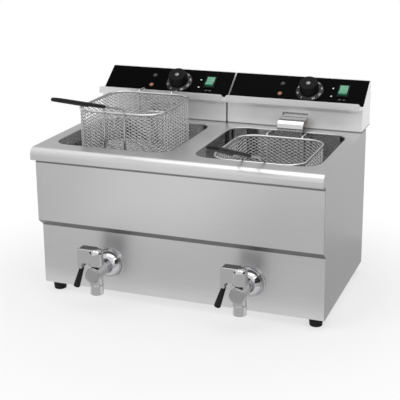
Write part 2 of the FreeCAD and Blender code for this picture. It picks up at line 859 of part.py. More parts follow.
def cover_screw_spots(side):
    """Return the centres of a rear cover's screws in X and Z."""
    across = f"({HEAD_WIDTH} / 2 - cover_flange / 2)"
    low = f"{TOP} + cover_flange / 2"
    high = f"{HEAD_TOP} - cover_flange / 2"
    return [(f"{SIDES[side]} + {x} * {across}", z) for x in (-1, 1) for z in (low, high)]


def leg_offsets():
    """Return the X offsets of the element's legs from the head's centre."""
    return [f"hood_offset + {step} * leg_pitch" for step in (-1.5, -0.5, 0.5, 1.5)]


def make_head_casing(side):
    centre = SIDES[side]
    inset = f"sheet * tan({SLOPE} / 2)"
    low, high = f"{centre} - {HEAD_WIDTH} / 2", f"{centre} + {HEAD_WIDTH} / 2"
    outer = folded(
        [
            (SPLASH, TOP),
            (SPLASH, PANEL_Z),
            (PANEL_Y, PANEL_Z),
            (PANEL_TOP_Y, HEAD_TOP),
            (HEAD_REAR, HEAD_TOP),
            (HEAD_REAR, TOP),
        ],
        low, high,
    )
    inner = folded(
        [
            (f"{SPLASH} + sheet", f"{TOP} + sheet"),
            (f"{SPLASH} + sheet", f"{PANEL_Z} - sheet"),
            (f"{PANEL_Y} + {inset}", f"{PANEL_Z} - sheet"),
            (f"{PANEL_TOP_Y} + {inset}", f"{HEAD_TOP} - sheet"),
            (f"{HEAD_REAR} - sheet", f"{HEAD_TOP} - sheet"),
            (f"{HEAD_REAR} - sheet", f"{TOP} + sheet"),
        ],
        f"{low} + sheet", f"{high} - sheet",
    )
    window = box(
        (f"{low} + cover_flange", f"{high} - cover_flange"),
        (f"{HEAD_REAR} - 2 * sheet", f"{HEAD_REAR} + sheet"),
        (f"{TOP} + cover_flange", f"{HEAD_TOP} - cover_flange"),
    )
    through = (f"{SPLASH} - 1", f"{SPLASH} + sheet + 1")
    holes = [inner, window, on_panel(fuse(*panel_cutouts()), side)]
    for offset in leg_offsets():
        holes.append(rod("element_radius + snug", *through, "y", (f"{centre} + {offset}", LEG_Z)))
    holes.append(rod("capillary_radius + snug", *through, "y", (f"{centre} + hood_offset", LEG_Z)))
    behind = (f"{HEAD_REAR} - 2 * sheet", f"{HEAD_REAR} + 1")
    for spot in cover_screw_spots(side):
        holes.append(rod("cover_screw_radius + snug", *behind, "y", spot))
    keep(cut(outer, *holes), f"{side}_head_casing")


def make_rear_cover(side):
    centre = SIDES[side]
    half = f"({HEAD_WIDTH} / 2 - cover_margin)"
    through = (f"{HEAD_REAR} - 1", f"{HEAD_REAR} + sheet + 1")
    plate = box(
        (f"{centre} - {half}", f"{centre} + {half}"),
        (HEAD_REAR, f"{HEAD_REAR} + sheet"),
        (f"{TOP} + cover_margin", f"{HEAD_TOP} - cover_margin"),
    )
    holes = [rod("gland_thread_radius + snug", *through, "y", gland_spot(side))]
    for spot in cover_screw_spots(side):
        holes.append(rod("cover_screw_radius + snug", *through, "y", spot))
    for line in range(4):
        low = f"{TOP} + head_height / 2 + ({line} - 1.5) * louvre_pitch - louvre_height / 2"
        x = (f"{centre} - louvre_length", f"{centre} + louvre_length")
        holes.append(box(x, through, (low, f"{low} + louvre_height")))
    keep(cut(plate, *holes), f"{side}_rear_cover")


def make_cover_screws(side):
    screws = []
    for spot in cover_screw_spots(side):
        face = f"{HEAD_REAR} + sheet"
        shank = rod("cover_screw_radius", f"{face} - cover_screw_length", face, "y", spot)
        head = rod("cover_screw_head_radius", face, f"{face} + cover_screw_head_height", "y", spot)
        screws.append(fuse(shank, head))
    keep(group(*screws), f"{side}_cover_screws")


def gland_spot(side):
    """Return a cable gland's centre in X and Z."""
    return f"{SIDES[side]} + gland_offset", f"{TOP} + gland_level"


def make_cable_gland(side):
    spot = gland_spot(side)
    face = f"{HEAD_REAR} + sheet"
    nut_top = f"{face} + gland_nut_height"
    cap_top = f"{nut_top} + gland_cap_height"
    back = f"{face} - gland_thread_length"
    thread = rod("gland_thread_radius", back, face, "y", spot)
    nut = hexagon("gland_nut_radius", face, nut_top, "y", spot)
    cap = rod("gland_cap_radius", nut_top, cap_top, "y", spot)
    bore = rod("gland_bore_radius", f"{back} - 1", f"{cap_top} + 1", "y", spot)
    keep(cut(fuse(thread, nut, cap), bore), f"{side}_cable_gland")


def make_control_panel(side):
    across = (f"-{HEAD_WIDTH} / 2", f"{HEAD_WIDTH} / 2")
    plate = box(across, ("0", PANEL_LENGTH), ("0", "fascia"))
    keep(on_panel(cut(plate, *panel_cutouts()), side), f"{side}_control_panel")


def make_basket_rail(side):
    outline = [
        (SPLASH, f"{RAIL_Z} - rail_flange"),
        (f"{SPLASH} - sheet", f"{RAIL_Z} - rail_flange"),
        (f"{SPLASH} - sheet", RAIL_Z),
        (RAIL_Y, RAIL_Z),
        (RAIL_Y, f"{RAIL_Z} + rail_height"),
        (f"{RAIL_Y} + sheet", f"{RAIL_Z} + rail_height"),
        (f"{RAIL_Y} + sheet", f"{RAIL_Z} + sheet"),
        (SPLASH, f"{RAIL_Z} + sheet"),
    ]
    centre, half = SIDES[side], f"({HEAD_WIDTH} / 2 - rail_inset)"
    bends = [(RAIL_Y, RAIL_Z, "sheet"), (f"{SPLASH} - sheet", RAIL_Z, "sheet")]
    rail = folded(outline, f"{centre} - {half}", f"{centre} + {half}", bends)
    lip_top = size(f"{RAIL_Z} + rail_height")

    def is_tip(edge):
        return edge.BoundBox.ZMin > lip_top - 1e-3 and edge.BoundBox.XLength < 1e-3

    keep(rounded(rail, "rail_corner", is_tip), f"{side}_basket_rail")


def make_element_hood(side):
    outline = [
        (SPLASH, f"{HOOD_Z} + hood_flange"),
        (f"{SPLASH} - sheet", f"{HOOD_Z} + hood_flange"),
        (f"{SPLASH} - sheet", HOOD_Z),
        (HOOD_Y, HOOD_Z),
        (HOOD_Y, f"{TOP} - hood_drop"),
        (f"{HOOD_Y} + sheet", f"{TOP} - hood_drop"),
        (f"{HOOD_Y} + sheet", f"{HOOD_Z} - sheet"),
        (SPLASH, f"{HOOD_Z} - sheet"),
    ]
    bends = [
        (HOOD_Y, HOOD_Z, "hood_bend"),
        (f"{HOOD_Y} + sheet", f"{HOOD_Z} - sheet", "hood_bend - sheet"),
    ]
    middle = f"{SIDES[side]} + hood_offset"
    hood = folded(outline, f"{middle} - hood_width / 2", f"{middle} + hood_width / 2", bends)
    keep(hood, f"{side}_element_hood")


def make_heating_element(side):
    top, low = size(LEG_Z), size(ELEMENT_Z)
    back, drop = size(f"{SPLASH} + leg_tail"), size(LEG_Y)
    turn_y = drop - size("element_turn")
    front = size(f"{FRONT} + tank_margin + element_margin")
    bends = [size("element_bend")] * 8
    loops = []
    for hand in (-1, 1):
        near = size("hood_offset") + hand * size("leg_pitch") * 0.5
        far = size("hood_offset") + hand * size("leg_pitch") * 1.5
        edge = hand * size("element_span")
        corners = [
            (far, back, top),
            (far, drop, top),
            (far, drop, low),
            (far, turn_y, low),
            (edge, turn_y, low),
            (edge, front, low),
            (near, front, low),
            (near, drop, low),
            (near, drop, top),
            (near, back, top),
        ]
        path = bent_path([Vector(*corner) for corner in corners], bends)
        loops.append(swept(path, size("element_radius")))
    element = shaped(Part.makeCompound(loops))
    keep(place(element, SIDES[side]), f"{side}_heating_element")


def make_thermostat(side):
    centre = SIDES[side]
    block = box(
        ("dial_offset - thermostat_width / 2", "dial_offset + thermostat_width / 2"),
        ("dial_height - thermostat_length / 2", "dial_height + thermostat_length / 2"),
        ("-sheet - thermostat_depth", "-sheet"),
    )
    spot = ("dial_offset", "dial_height")
    bush = rod("bush_radius", "-sheet - 1", "fascia + bush_height", "z", spot)
    hole = rod("spindle_radius + clearance", "-thermostat_depth + 2", "fascia + bush_height + 1", "z", spot)
    body = on_panel(cut(fuse(block, bush), hole), side)
    down = size("sheet + thermostat_depth / 2")
    slope = math.radians(size(SLOPE))
    start = Vector(
        size("dial_offset - thermostat_width / 2 + 4"),
        size(f"{PANEL_Y} + dial_height * cos({SLOPE})") + down * math.sin(slope),
        size(f"{PANEL_Z} + dial_height * sin({SLOPE})") - down * math.cos(slope),
    )
    middle = size("hood_offset")
    low = size(ELEMENT_Z)
    bulb_back = size(f"{LEG_Y} - element_turn")
    bulb_front = bulb_back - size("bulb_length")
    points = [
        start,
        Vector(middle, start.y, start.z),
        Vector(middle, start.y, size(LEG_Z)),
        Vector(middle, size(LEG_Y), size(LEG_Z)),
        Vector(middle, size(LEG_Y), low),
        Vector(middle, bulb_back - 2, low),
    ]
    bend = size("element_bend") / 2
    capillary = swept(bent_path(points, [bend / 3, bend, bend, bend]), size("capillary_radius"))
    bulb = Part.makeCylinder(
        size("bulb_radius"), bulb_back - bulb_front, Vector(middle, bulb_front, low), Vector(0, 1, 0)
    )
    sensor = place(shaped(capillary.fuse(bulb)), centre)
    keep(fuse(body, sensor), f"{side}_thermostat")


def make_dial_ring(side):
    outline = [
        ("dial_bore_radius", "0"),
        ("dial_radius", "0"),
        ("dial_radius", "dial_rim"),
        ("knob_radius + 1", "dial_rise"),
        ("dial_bore_radius", "dial_rise"),
    ]
    ring = turned(outline)
    keep(on_panel(ring, side, "dial_offset", "dial_height", "fascia"), f"{side}_dial_ring")


def make_temperature_knob(side):
    edge = "2"
    outline = [
        ("0", "-dial_rise - thermostat_depth / 2"),
        ("spindle_radius", "-dial_rise - thermostat_depth / 2"),
        ("spindle_radius", "0"),
        ("knob_radius", "0"),
        ("knob_radius", f"{edge}"),
        ("knob_radius - knob_taper", f"knob_height - {edge}"),
        (f"knob_radius - knob_taper - {edge}", "knob_height", edge),
        ("0", "knob_height"),
    ]
    knob = turned(outline)
    groove_x = ("-knob_groove_width / 2", "knob_groove_width / 2")
    groove_z = ("knob_height - knob_groove_depth", "knob_height + 1")
    groove = box(groove_x, ("-knob_radius - 1", "-knob_radius / 3"), groove_z)
    pointed = cut(knob, groove)
    out = "fascia + dial_rise + knob_lift"
    keep(on_panel(pointed, side, "dial_offset", "dial_height", out), f"{side}_temperature_knob")


def make_lamp(side, label, height):
    below = "-fascia - lamp_body_length"
    rise = "(lamp_dome - lamp_rim)"
    dome = f"((lamp_radius - 1)^2 + {rise}^2) / (2 * {rise})"
    outline = [
        ("0", below),
        ("lamp_body_radius", below),
        ("lamp_body_radius", "0"),
        ("lamp_radius", "0"),
        ("lamp_radius", "lamp_rim"),
        ("lamp_radius - 1", "lamp_rim"),
        ("0", "lamp_dome", dome),
    ]
    lamp = turned(outline)
    keep(on_panel(lamp, side, "-lamp_offset", height, "fascia"), f"{side}_{label}")


def make_switch_body(side):
    def block(width, length, low, high):
        x = (f"-({width}) / 2", f"({width}) / 2")
        y = (f"-({length}) / 2", f"({length}) / 2")
        return box(x, y, (low, high))

    bezel = block("bezel_width", "bezel_length", "fascia", "fascia + bezel_height")
    body = block("switch_width", "switch_length", "-switch_depth", "fascia + 1")
    room = "2 * clearance"
    reach = f"rocker_length + 2 * rocker_rise * sin(rocker_tilt) + {room}"
    cavity = block(f"rocker_width + {room}", reach, "-switch_depth + 2", "fascia + bezel_height + 1")
    half = "rocker_width / 2 + trunnion_length + 2 * clearance"
    pivots = rod("trunnion_radius + clearance", f"-({half})", half, "x", ("0", "rocker_pivot"))
    switch = cut(fuse(bezel, body), cavity, pivots)
    keep(on_panel(switch, side, "switch_offset", "switch_height"), f"{side}_switch_body")


def make_rocker(side):
    end = "rocker_length / 2"
    outline = [
        (f"-{end}", "rocker_rise"),
        (f"-{end} + 3", "-rocker_depth"),
        (f"{end} - 3", "-rocker_depth"),
        (end, "rocker_rise"),
        ("0", "rocker_dip"),
    ]
    wedge = folded(outline, "-rocker_width / 2", "rocker_width / 2")
    half = "rocker_width / 2 + trunnion_length"
    rocker = fuse(wedge, rod("trunnion_radius", f"-({half})", half, "x"))
    on_panel(rocker, side, "switch_offset", "switch_height", "rocker_pivot")
    rocker.setExpression(".Placement.Rotation.Angle", sized(f"{SLOPE} - rocker_tilt * 1 deg"))
    keep(rocker, f"{side}_rocker")


# Baskets, built about the centre of the rim


def rim_wire():
    """Return a basket's rim line as a closed wire in the XY plane."""
    x, y = size("basket_width / 2"), size("basket_length / 2")
    corners = [(0, -y), (x, -y), (x, y), (-x, y), (-x, -y), (0, -y)]
    return bent_path([Vector(*corner, 0) for corner in corners], [size("basket_corner")] * 4)


def basket_spot(side):
    """Return where a basket's rim centre stands."""
    if side == "left":
        return SIDES[side], HUNG_Y, HUNG_Z
    return SIDES[side], SUNK_Y, SUNK_Z


def hook_form(x):
    """Return the wire that runs under the basket, up its back and over into a hook."""
    back = size("basket_length / 2 + rim_radius + hook_radius")
    low = -size("basket_depth + hook_radius")
    high = size("hook_rise")
    points = [
        Vector(x, -size("basket_length / 2"), low),
        Vector(x, back, low),
        Vector(x, back, high),
        Vector(x, back + size("hook_span"), high),
        Vector(x, back + size("hook_span"), high - size("hook_drop")),
    ]
    return swept(bent_path(points, [size("hook_bend")] * 3), size("hook_radius"))


def mirrored(point):
    """Return a point's mirror image on the other side of the basket."""
    return Vector(-point.x, point.y, point.z)


def handle_points(side):
    """Return the corners of a basket's handle wire from one lower end round to the other."""
    front = -size("basket_length / 2 + rim_radius + handle_radius")
    wide, near = size("handle_pitch / 2"), size("sleeve_pitch / 2")
    rise, reach = size("handle_rise"), size("handle_length")
    angle = math.radians(size(f"{side}_handle_angle"))
    arm = [
        Vector(wide, front, -size("basket_depth")),
        Vector(wide, front, rise),
        Vector(near, front - reach * math.cos(angle), rise + reach * math.sin(angle)),
    ]
    return arm + [mirrored(point) for point in reversed(arm)]


def make_basket_frame(side):
    rim = swept(rim_wire(), size("rim_radius"))
    ring = swept(rim_wire(), size("ring_radius"))
    ring.translate(Vector(0, 0, -size("basket_depth - ring_radius")))
    hooks = [hook_form(hand * size("hook_pitch") / 2) for hand in (-1, 1)]
    bend, end = size("handle_bend"), size("sleeve_pitch / 2") - 0.5
    path = bent_path(handle_points(side), [bend, end, end, bend])
    handle = swept(path, size("handle_radius"))
    frame = shaped(Part.makeCompound([rim, ring, handle] + hooks))
    keep(place(frame, *basket_spot(side)), f"{side}_basket_frame")


def make_handle_grip(side):
    corner, tip = handle_points(side)[1:3]
    start = tip + (corner - tip).normalize() * size("handle_length - sleeve_start")
    points = [start, tip, mirrored(tip), mirrored(start)]
    end = size("sleeve_pitch / 2") - 0.5
    path = bent_path(points, [end, end])
    sleeve = swept(path, size("sleeve_radius")).cut(swept(path, size("handle_radius + snug")))
    keep(place(shaped(sleeve), *basket_spot(side)), f"{side}_handle_grip")


def net_panel(outline, width, height):
    """Return a flat panel in the XY plane with a lattice of diamond holes."""
    pitch = size("net_pitch")
    half = pitch / 2 - size("net_bar") / math.sqrt(2)
    margin = size("net_bar") + half
    wires = [outline]
    columns, rows = int(width / pitch) + 1, int(height / pitch) + 1
    for i in range(-2 * columns, 2 * columns + 1):
        for j in range(-2 * rows, 2 * rows + 1):
            x, y = i * pitch / 2, j * pitch / 2
            if (i + j) % 2 or abs(x) > width / 2 - margin or abs(y) > height / 2 - margin:
                continue
            ring = [(half, 0), (0, half), (-half, 0), (0, -half), (half, 0)]
            wires.append(Part.makePolygon([Vector(x + a, y + b, 0) for a, b in ring]))
    face = Part.makeFace(wires, "Part::FaceMakerBullseye")
    return face.extrude(Vector(0, 0, size("net_thickness")))


def make_basket_mesh(side):
    thick, corner = size("net_thickness"), size("basket_corner")
    x, y = size("basket_width / 2"), size("basket_length / 2")
    floor_low = -size("basket_depth - 2 * ring_radius")
    wall_low = floor_low + thick
    height = -size("rim_radius") - wall_low
    floor = net_panel(rim_wire(), 2 * x - 4 * thick, 2 * y - 4 * thick)
    floor.translate(Vector(0, 0, floor_low))
    solids = [floor]
    for angle, reach, flat in ((0, y, x), (90, x, y), (180, y, x), (270, x, y)):
        width = 2 * (flat - corner)
        turns = ((1, 1), (-1, 1), (-1, -1), (1, -1), (1, 1))
        outline = Part.makePolygon([Vector(a * width / 2, b * height / 2, 0) for a, b in turns])
        wall = net_panel(outline, width, height)
        wall.rotate(Vector(), Vector(1, 0, 0), 90)
        wall.translate(Vector(0, -reach + thick, wall_low + height / 2))
        wall.rotate(Vector(), Vector(0, 0, 1), angle)
        solids.append(wall)
    sweep = 90 / CORNER_STRIPS
    for angle, (i, j) in zip((180, 270, 0, 90), ((-1, -1), (1, -1), (1, 1), (-1, 1))):
        for step in range(CORNER_STRIPS):
            outer = Part.makeCylinder(corner, height, Vector(), Vector(0, 0, 1), sweep)
            inner = Part.makeCylinder(corner - thick, height, Vector(), Vector(0, 0, 1), sweep)
            strip = outer.cut(inner)
            strip.rotate(Vector(), Vector(0, 0, 1), angle + step * sweep)
            strip.translate(Vector(i * (x - corner), j * (y - corner), wall_low))
            solids.append(strip)
    mesh = shaped(Part.makeCompound(solids))
    keep(place(mesh, *basket_spot(side)), f"{side}_basket_mesh")


# Build every piece

make_top_plate()
make_front_panel()
make_side_panels()
make_rear_panel()
make_base_plate()
make_feet()
for hand in SIDES:
    make_tank(hand)
    make_valve_body(hand)
    make_valve_ball(hand)
    make_lever(hand)
    make_lever_grip(hand)
    make_head_casing(hand)
    make_rear_cover(hand)
    make_cover_screws(hand)
    make_cable_gland(hand)
    make_control_panel(hand)
    make_basket_rail(hand)
    make_element_hood(hand)
    make_heating_element(hand)
    make_thermostat(hand)
    make_dial_ring(hand)
    make_temperature_knob(hand)
    make_lamp(hand, "power_lamp", "upper_lamp_height")
    make_lamp(hand, "heating_lamp", "lower_lamp_height")
    make_switch_body(hand)
    make_rocker(hand)
    make_basket_frame(hand)
    make_handle_grip(hand)
    make_basket_mesh(hand)
keep(group(*[make_drain_pipe(hand) for hand in SIDES]), "drain_pipes")
keep(group(*[make_lock_nut(hand) for hand in SIDES]), "drain_lock_nuts")
keep(group(*[make_escutcheon(hand) for hand in SIDES]), "tap_escutcheons")
keep(group(*[make_valve_cap(hand) for hand in SIDES]), "valve_caps")
keep(group(*[make_packing_nut(hand) for hand in SIDES]), "packing_nuts")
doc.recompute()

# Check and write

for item in doc.Objects:
    if "Invalid" in item.State or "Error" in item.State:
        raise RuntimeError(f"{item.Label} ({item.Name}) did not recompute: {item.State}")
os.makedirs("parts", exist_ok=True)
for piece in pieces:
    if piece.Shape.isNull() or not piece.Shape.isValid():
        raise RuntimeError(f"{piece.Label} has no valid shape")
    piece.Shape.exportStep(f"parts/{piece.Label}.step")
print(f"{len(pieces)} pieces written")
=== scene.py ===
"""Countertop twin-tank fryer: modelled pieces, finishes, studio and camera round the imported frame."""

from __future__ import annotations

import functools
import json
import logging
import math
from collections.abc import Iterable, Sequence
from dataclasses import dataclass, replace
from enum import Enum

import bmesh
import bpy
from mathutils import Matrix, Vector


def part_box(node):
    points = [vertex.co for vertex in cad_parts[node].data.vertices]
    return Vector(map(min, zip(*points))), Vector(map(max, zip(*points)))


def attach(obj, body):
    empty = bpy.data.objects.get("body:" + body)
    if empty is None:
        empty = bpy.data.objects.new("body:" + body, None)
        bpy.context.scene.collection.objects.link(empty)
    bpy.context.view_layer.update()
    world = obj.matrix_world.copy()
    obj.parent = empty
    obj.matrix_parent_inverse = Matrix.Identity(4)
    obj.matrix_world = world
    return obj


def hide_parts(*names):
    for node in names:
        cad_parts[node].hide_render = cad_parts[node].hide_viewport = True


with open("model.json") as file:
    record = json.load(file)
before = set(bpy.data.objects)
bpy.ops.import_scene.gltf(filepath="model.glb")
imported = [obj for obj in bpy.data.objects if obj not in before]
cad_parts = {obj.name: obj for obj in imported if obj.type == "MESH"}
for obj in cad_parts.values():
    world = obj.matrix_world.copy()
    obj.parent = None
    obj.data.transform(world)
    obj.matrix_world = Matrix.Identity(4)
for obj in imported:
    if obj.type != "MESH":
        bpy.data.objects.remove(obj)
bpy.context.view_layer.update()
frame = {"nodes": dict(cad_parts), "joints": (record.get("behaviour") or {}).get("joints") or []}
MERGE = 1e-6
SQUARE_EDGE = 50.0
QUARTER = math.pi / 2

Colour = tuple[float, float, float]
Spot = tuple[float, float]
Point = tuple[float, float, float]
Inputs = dict[str, object]
Pattern = tuple[Point | float, float]

log = logging.getLogger("fryer")


class Side(Enum):
    """One of the fryer's two halves."""

    LEFT = "left"
    RIGHT = "right"

    def own(self, name: str) -> str:
        """Name of this half's node, body or piece."""
        return f"{self.value}_{name}"


class Grain(Enum):
    """Way that a sheet was brushed, as noise cells per metre along X, Y and Z."""

    ACROSS = (14.0, 1100.0, 1100.0)
    DEEP = (1100.0, 14.0, 1100.0)
    UPRIGHT = (1100.0, 1100.0, 14.0)


class Signal:
    """A shader socket that sums and products work on."""

    def __init__(self, nodes: Nodes, socket: bpy.types.NodeSocket) -> None:
        """Keep the socket and its tree."""
        self.nodes = nodes
        self.socket = socket

    def _math(self, operation: str, other: Signal | float) -> Signal:
        """Add a Math node."""
        return self.nodes.add("ShaderNodeMath", {"operation": operation}, {0: self, 1: other})

    def __add__(self, other: Signal | float) -> Signal:
        """Sum."""
        return self._math("ADD", other)

    def __mul__(self, other: Signal | float) -> Signal:
        """Product."""
        return self._math("MULTIPLY", other)

    def or_else(self, other: Signal) -> Signal:
        """The larger of two masks."""
        return self._math("MAXIMUM", other)

    __radd__ = __add__
    __rmul__ = __mul__


class Nodes:
    """A node tree that is being filled."""

    def __init__(self, tree: bpy.types.NodeTree) -> None:
        """Keep the tree."""
        self.tree = tree

    def add(
        self,
        kind: str,
        settings: Inputs | None = None,
        sockets: dict[str | int, object] | None = None,
        output: str | int = 0,
    ) -> Signal:
        """Add one node.

        Args:
            kind: The node's type.
            settings: Its own properties, set first.
            sockets: Values or links of its inputs, by name or index.
            output: The output to return.

        Returns:
            The chosen output.
        """
        node = self.tree.nodes.new(kind)
        for name, value in (settings or {}).items():
            setattr(node, name, value)
        for key, value in (sockets or {}).items():
            self.feed(node.inputs[key], value)
        return Signal(self, node.outputs[output])

    def feed(self, socket: bpy.types.NodeSocket, value: object) -> None:
        """Link a signal to a socket, or set a plain value on it.

        Args:
            socket: The input.
            value: A signal, number, colour or vector.
        """
        if isinstance(value, Signal):
            self.tree.links.new(value.socket, socket)
        elif isinstance(value, tuple) and len(value) == 3 and socket.type == "RGBA":
            socket.default_value = (*value, 1.0)
        else:
            socket.default_value = value

    def place(self, cells: Point = (1.0, 1.0, 1.0)) -> Signal:
        """Object coordinates, stretched to so many cells per metre."""
        spot = self.add("ShaderNodeTexCoord", output="Object")
        return self.add("ShaderNodeMapping", {"vector_type": "POINT"}, {"Vector": spot, "Scale": cells})

    def noise(self, cells: Point | float, detail: float) -> Signal:
        """Soft noise from 0 to 1 with so many cells per metre."""
        spread = (cells,) * 3 if isinstance(cells, float) else cells
        return self.add(
            "ShaderNodeTexNoise", {}, {"Vector": self.place(spread), "Scale": 1.0, "Detail": detail}
        )

    def blend(self, share: Signal, first: Colour, second: Colour) -> Signal:
        """Mix two colours by a mask."""
        colours = {6: (*first, 1.0), 7: (*second, 1.0)}
        return self.add("ShaderNodeMix", {"data_type": "RGBA"}, {0: share, **colours}, output=2)

    def ramp(self, share: Signal, stops: Sequence[tuple[float, Colour]]) -> Signal:
        """Run through colours along a mask.

        Args:
            share: The mask.
            stops: Positions from 0 to 1 with their colours.

        Returns:
            The colour.
        """
        made = self.add("ShaderNodeValToRGB", {}, {"Fac": share})
        elements = made.socket.node.color_ramp.elements
        while len(elements) < len(stops):
            elements.new(1.0)
        for element, (position, colour) in zip(elements, stops):
            element.position = position
            element.color = (*colour, 1.0)
        return made

    def bump(self, height: Signal, depth: float) -> Signal:
        """Normal of a relief of so many metres."""
        return self.add("ShaderNodeBump", {}, {"Height": height, "Distance": depth, "Strength": 1.0})

    def smooth(self, value: Signal, low: float, high: float) -> Signal:
        """Rise softly from 0 at low to 1 at high."""
        settings = {"interpolation_type": "SMOOTHSTEP"}
        return self.add("ShaderNodeMapRange", settings, {"Value": value, "From Min": low, "From Max": high})


def scaled(colour: Colour, factor: float) -> Colour:
    """Return a lighter or darker colour."""
    return tuple(min(1.0, channel * factor) for channel in colour)


@dataclass(frozen=True)
class Finish:
    """A surface: its colour, its roughness and the record's slot that it answers to."""

    name: str
    slot: str
    colour: Colour
    roughness: float

    def inputs(self, nodes: Nodes) -> Inputs:
        """Make the finish's nodes.

        Args:
            nodes: The material's tree.

        Returns:
            The shader's inputs by name.
        """
        raise NotImplementedError

    def shades(self, nodes: Nodes, mask: Signal, dark: float, pale: float) -> Signal:
        """Blend from a darker to a paler shade of the colour by a mask."""
        return nodes.blend(mask, scaled(self.colour, dark), scaled(self.colour, pale))


@functools.cache
def material_of(finish: Finish) -> bpy.types.Material:
    """Make a finish's material once.

    Args:
        finish: The surface.

    Returns:
        The material.
    """
    material = bpy.data.materials.new(finish.name)
    material.use_nodes = True
    nodes = Nodes(material.node_tree)
    surface = material.node_tree.nodes["Principled BSDF"]
    for name, value in finish.inputs(nodes).items():
        nodes.feed(surface.inputs[name], value)
    return material


@dataclass(frozen=True)
class BrushedSheet(Finish):
    """Stainless sheet with a brushed grain, faint handling marks and painted shade in bands between given
    heights, where shadow lines fall.
    """

    grain: Grain
    # Bands of painted shade, as pairs of heights, and how softly each band's edges fade.
    seams: tuple[Spot, ...] = ()
    seam_edge: float = 0.0015
    stroke_depth: float = 2.5e-6
    stroke_tone: float = 0.16
    stroke_dulling: float = 0.1
    mark_cells: float = 6.0
    mark_tone: float = 0.09
    mark_dulling: float = 0.06
    base_tone: float = 0.75
    # Shades of the colour at tone 0 and 1; the darkest is reached only inside the painted shade bands.
    dark_and_pale: Spot = (0.3, 1.1)
    polish: float = -0.08
    detail: float = 3.0

    def inputs(self, nodes: Nodes) -> Inputs:
        """Brush strokes move tone, roughness and relief; broad marks move tone and roughness.

        Args:
            nodes: The material's tree.

        Returns:
            The shader's inputs by name.
        """
        strokes = nodes.noise(self.grain.value, self.detail)
        marks = nodes.noise(self.mark_cells, self.detail)
        tone = self.base_tone + strokes * self.stroke_tone + marks * self.mark_tone
        rough = self.roughness + self.polish + strokes * self.stroke_dulling
        height = nodes.add("ShaderNodeSeparateXYZ", {}, {"Vector": nodes.place()}, output="Z")
        # Painted shade: inside each band the tone drops to nothing, darkening the colour into a painted
        # shadow line.
        for low, high in self.seams:
            below = nodes.smooth(height, low, low - self.seam_edge)
            tone = tone * below.or_else(nodes.smooth(height, high, high + self.seam_edge))
        return {
            "Metallic": 1.0,
            "Base Color": self.shades(nodes, tone, *self.dark_and_pale),
            "Roughness": rough + marks * self.mark_dulling,
            "Normal": nodes.bump(strokes, self.stroke_depth),
        }


@dataclass(frozen=True)
class HeatedSheath(Finish):
    """Element tube that heat has tinted from straw to blue-grey."""

    straw: Colour = (0.30, 0.24, 0.17)
    blue: Colour = (0.21, 0.22, 0.26)
    cool_shade: float = 0.7
    bands: tuple[float, ...] = (0.30, 0.48, 0.62, 0.78)
    heat_cells: float = 28.0
    scale_cells: float = 600.0
    scale_depth: float = 2.0e-5
    scale_dulling: float = 0.2
    detail: float = 3.0
    metallic: float = 0.9

    def inputs(self, nodes: Nodes) -> Inputs:
        """Tint follows slow bands of heat along the tube.

        Args:
            nodes: The material's tree.

        Returns:
            The shader's inputs by name.
        """
        heat = nodes.noise(self.heat_cells, self.detail)
        scale = nodes.noise(self.scale_cells, self.detail)
        tints = (scaled(self.colour, self.cool_shade), self.straw, self.blue, self.colour)
        return {
            "Metallic": self.metallic,
            "Base Color": nodes.ramp(heat, list(zip(self.bands, tints))),
            "Roughness": self.roughness + scale * self.scale_dulling,
            "Normal": nodes.bump(scale, self.scale_depth),
        }


@dataclass(frozen=True)
class Kind:
    """How a kind of surface varies, with each noise as its cells per metre and its detail.

    A film moves the shade and the gloss, streaks move the gloss and a relief bends the reflections.
    """

    film: Pattern
    shades: Spot
    dulling: float
    polish: float = 0.0
    relief: Pattern | None = None
    depth: float = 0.0
    streaks: Pattern | None = None
    streak_dulling: float = 0.0
    contrast: Spot | None = None
    metallic: float = 0.0
    specular: float = 0.5
    coat: float = 0.0


@dataclass(frozen=True)
class Coat(Finish):
    """A surface that varies as its kind does."""

    kind: Kind

    def inputs(self, nodes: Nodes) -> Inputs:
        """Let the kind's noises move shade, gloss and relief.

        Args:
            nodes: The material's tree.

        Returns:
            The shader's inputs by name.
        """
        kind = self.kind
        film = nodes.noise(*kind.film)
        tone = nodes.smooth(film, *kind.contrast) if kind.contrast else film
        rough = self.roughness + kind.polish + film * kind.dulling
        if kind.streaks:
            rough = rough + nodes.noise(*kind.streaks) * kind.streak_dulling
        made = {"Base Color": self.shades(nodes, tone, *kind.shades), "Roughness": rough}
        if kind.relief:
            made["Normal"] = nodes.bump(nodes.noise(*kind.relief), kind.depth)
        fixed = {"Metallic": kind.metallic, "Specular IOR Level": kind.specular, "Coat Weight": kind.coat}
        return made | fixed


# Drawn and polished stainless: slow ripples, fine upright streaks.
POLISHED = Kind(
    film=(24.0, 4.0), shades=(0.92, 1.05), dulling=0.05, polish=-0.04, relief=(11.0, 1.0), depth=2.5e-4,
    streaks=(Grain.UPRIGHT.value, 2.0), streak_dulling=0.03, metallic=1.0,
)
# Bright plating: wiped smudges over a casting that is not quite even.
PLATED = Kind(
    film=(90.0, 3.0), shades=(0.94, 1.04), dulling=0.09, polish=-0.04, relief=(160.0, 1.0), depth=2.0e-5,
    metallic=1.0,
)
# Moulded plastic or rubber: light scuffs over a fine grain.
MOULDED = Kind(
    film=(140.0, 4.0), shades=(0.8, 1.35), dulling=0.16, polish=-0.08, relief=(900.0, 2.0), depth=1.5e-5,
    specular=0.12,
)
# Glossy printed film: a trace of dust, not dead flat.
GLOSSY = Kind(
    film=(320.0, 4.0), shades=(0.8, 1.4), dulling=0.08, relief=(30.0, 1.0), depth=2.0e-5, specular=0.012
)
# Tinted moulded lens or key: cloudy where the plastic flowed.
TINTED = Kind(
    film=(210.0, 2.0), shades=(0.85, 1.15), dulling=0.1, relief=(210.0, 2.0), depth=1.0e-5,
    contrast=(0.3, 0.7), coat=0.3,
)
# Screen-printed ink: worn in specks.
PRINTED = Kind(film=(900.0, 3.0), shades=(0.82, 1.1), dulling=0.15)
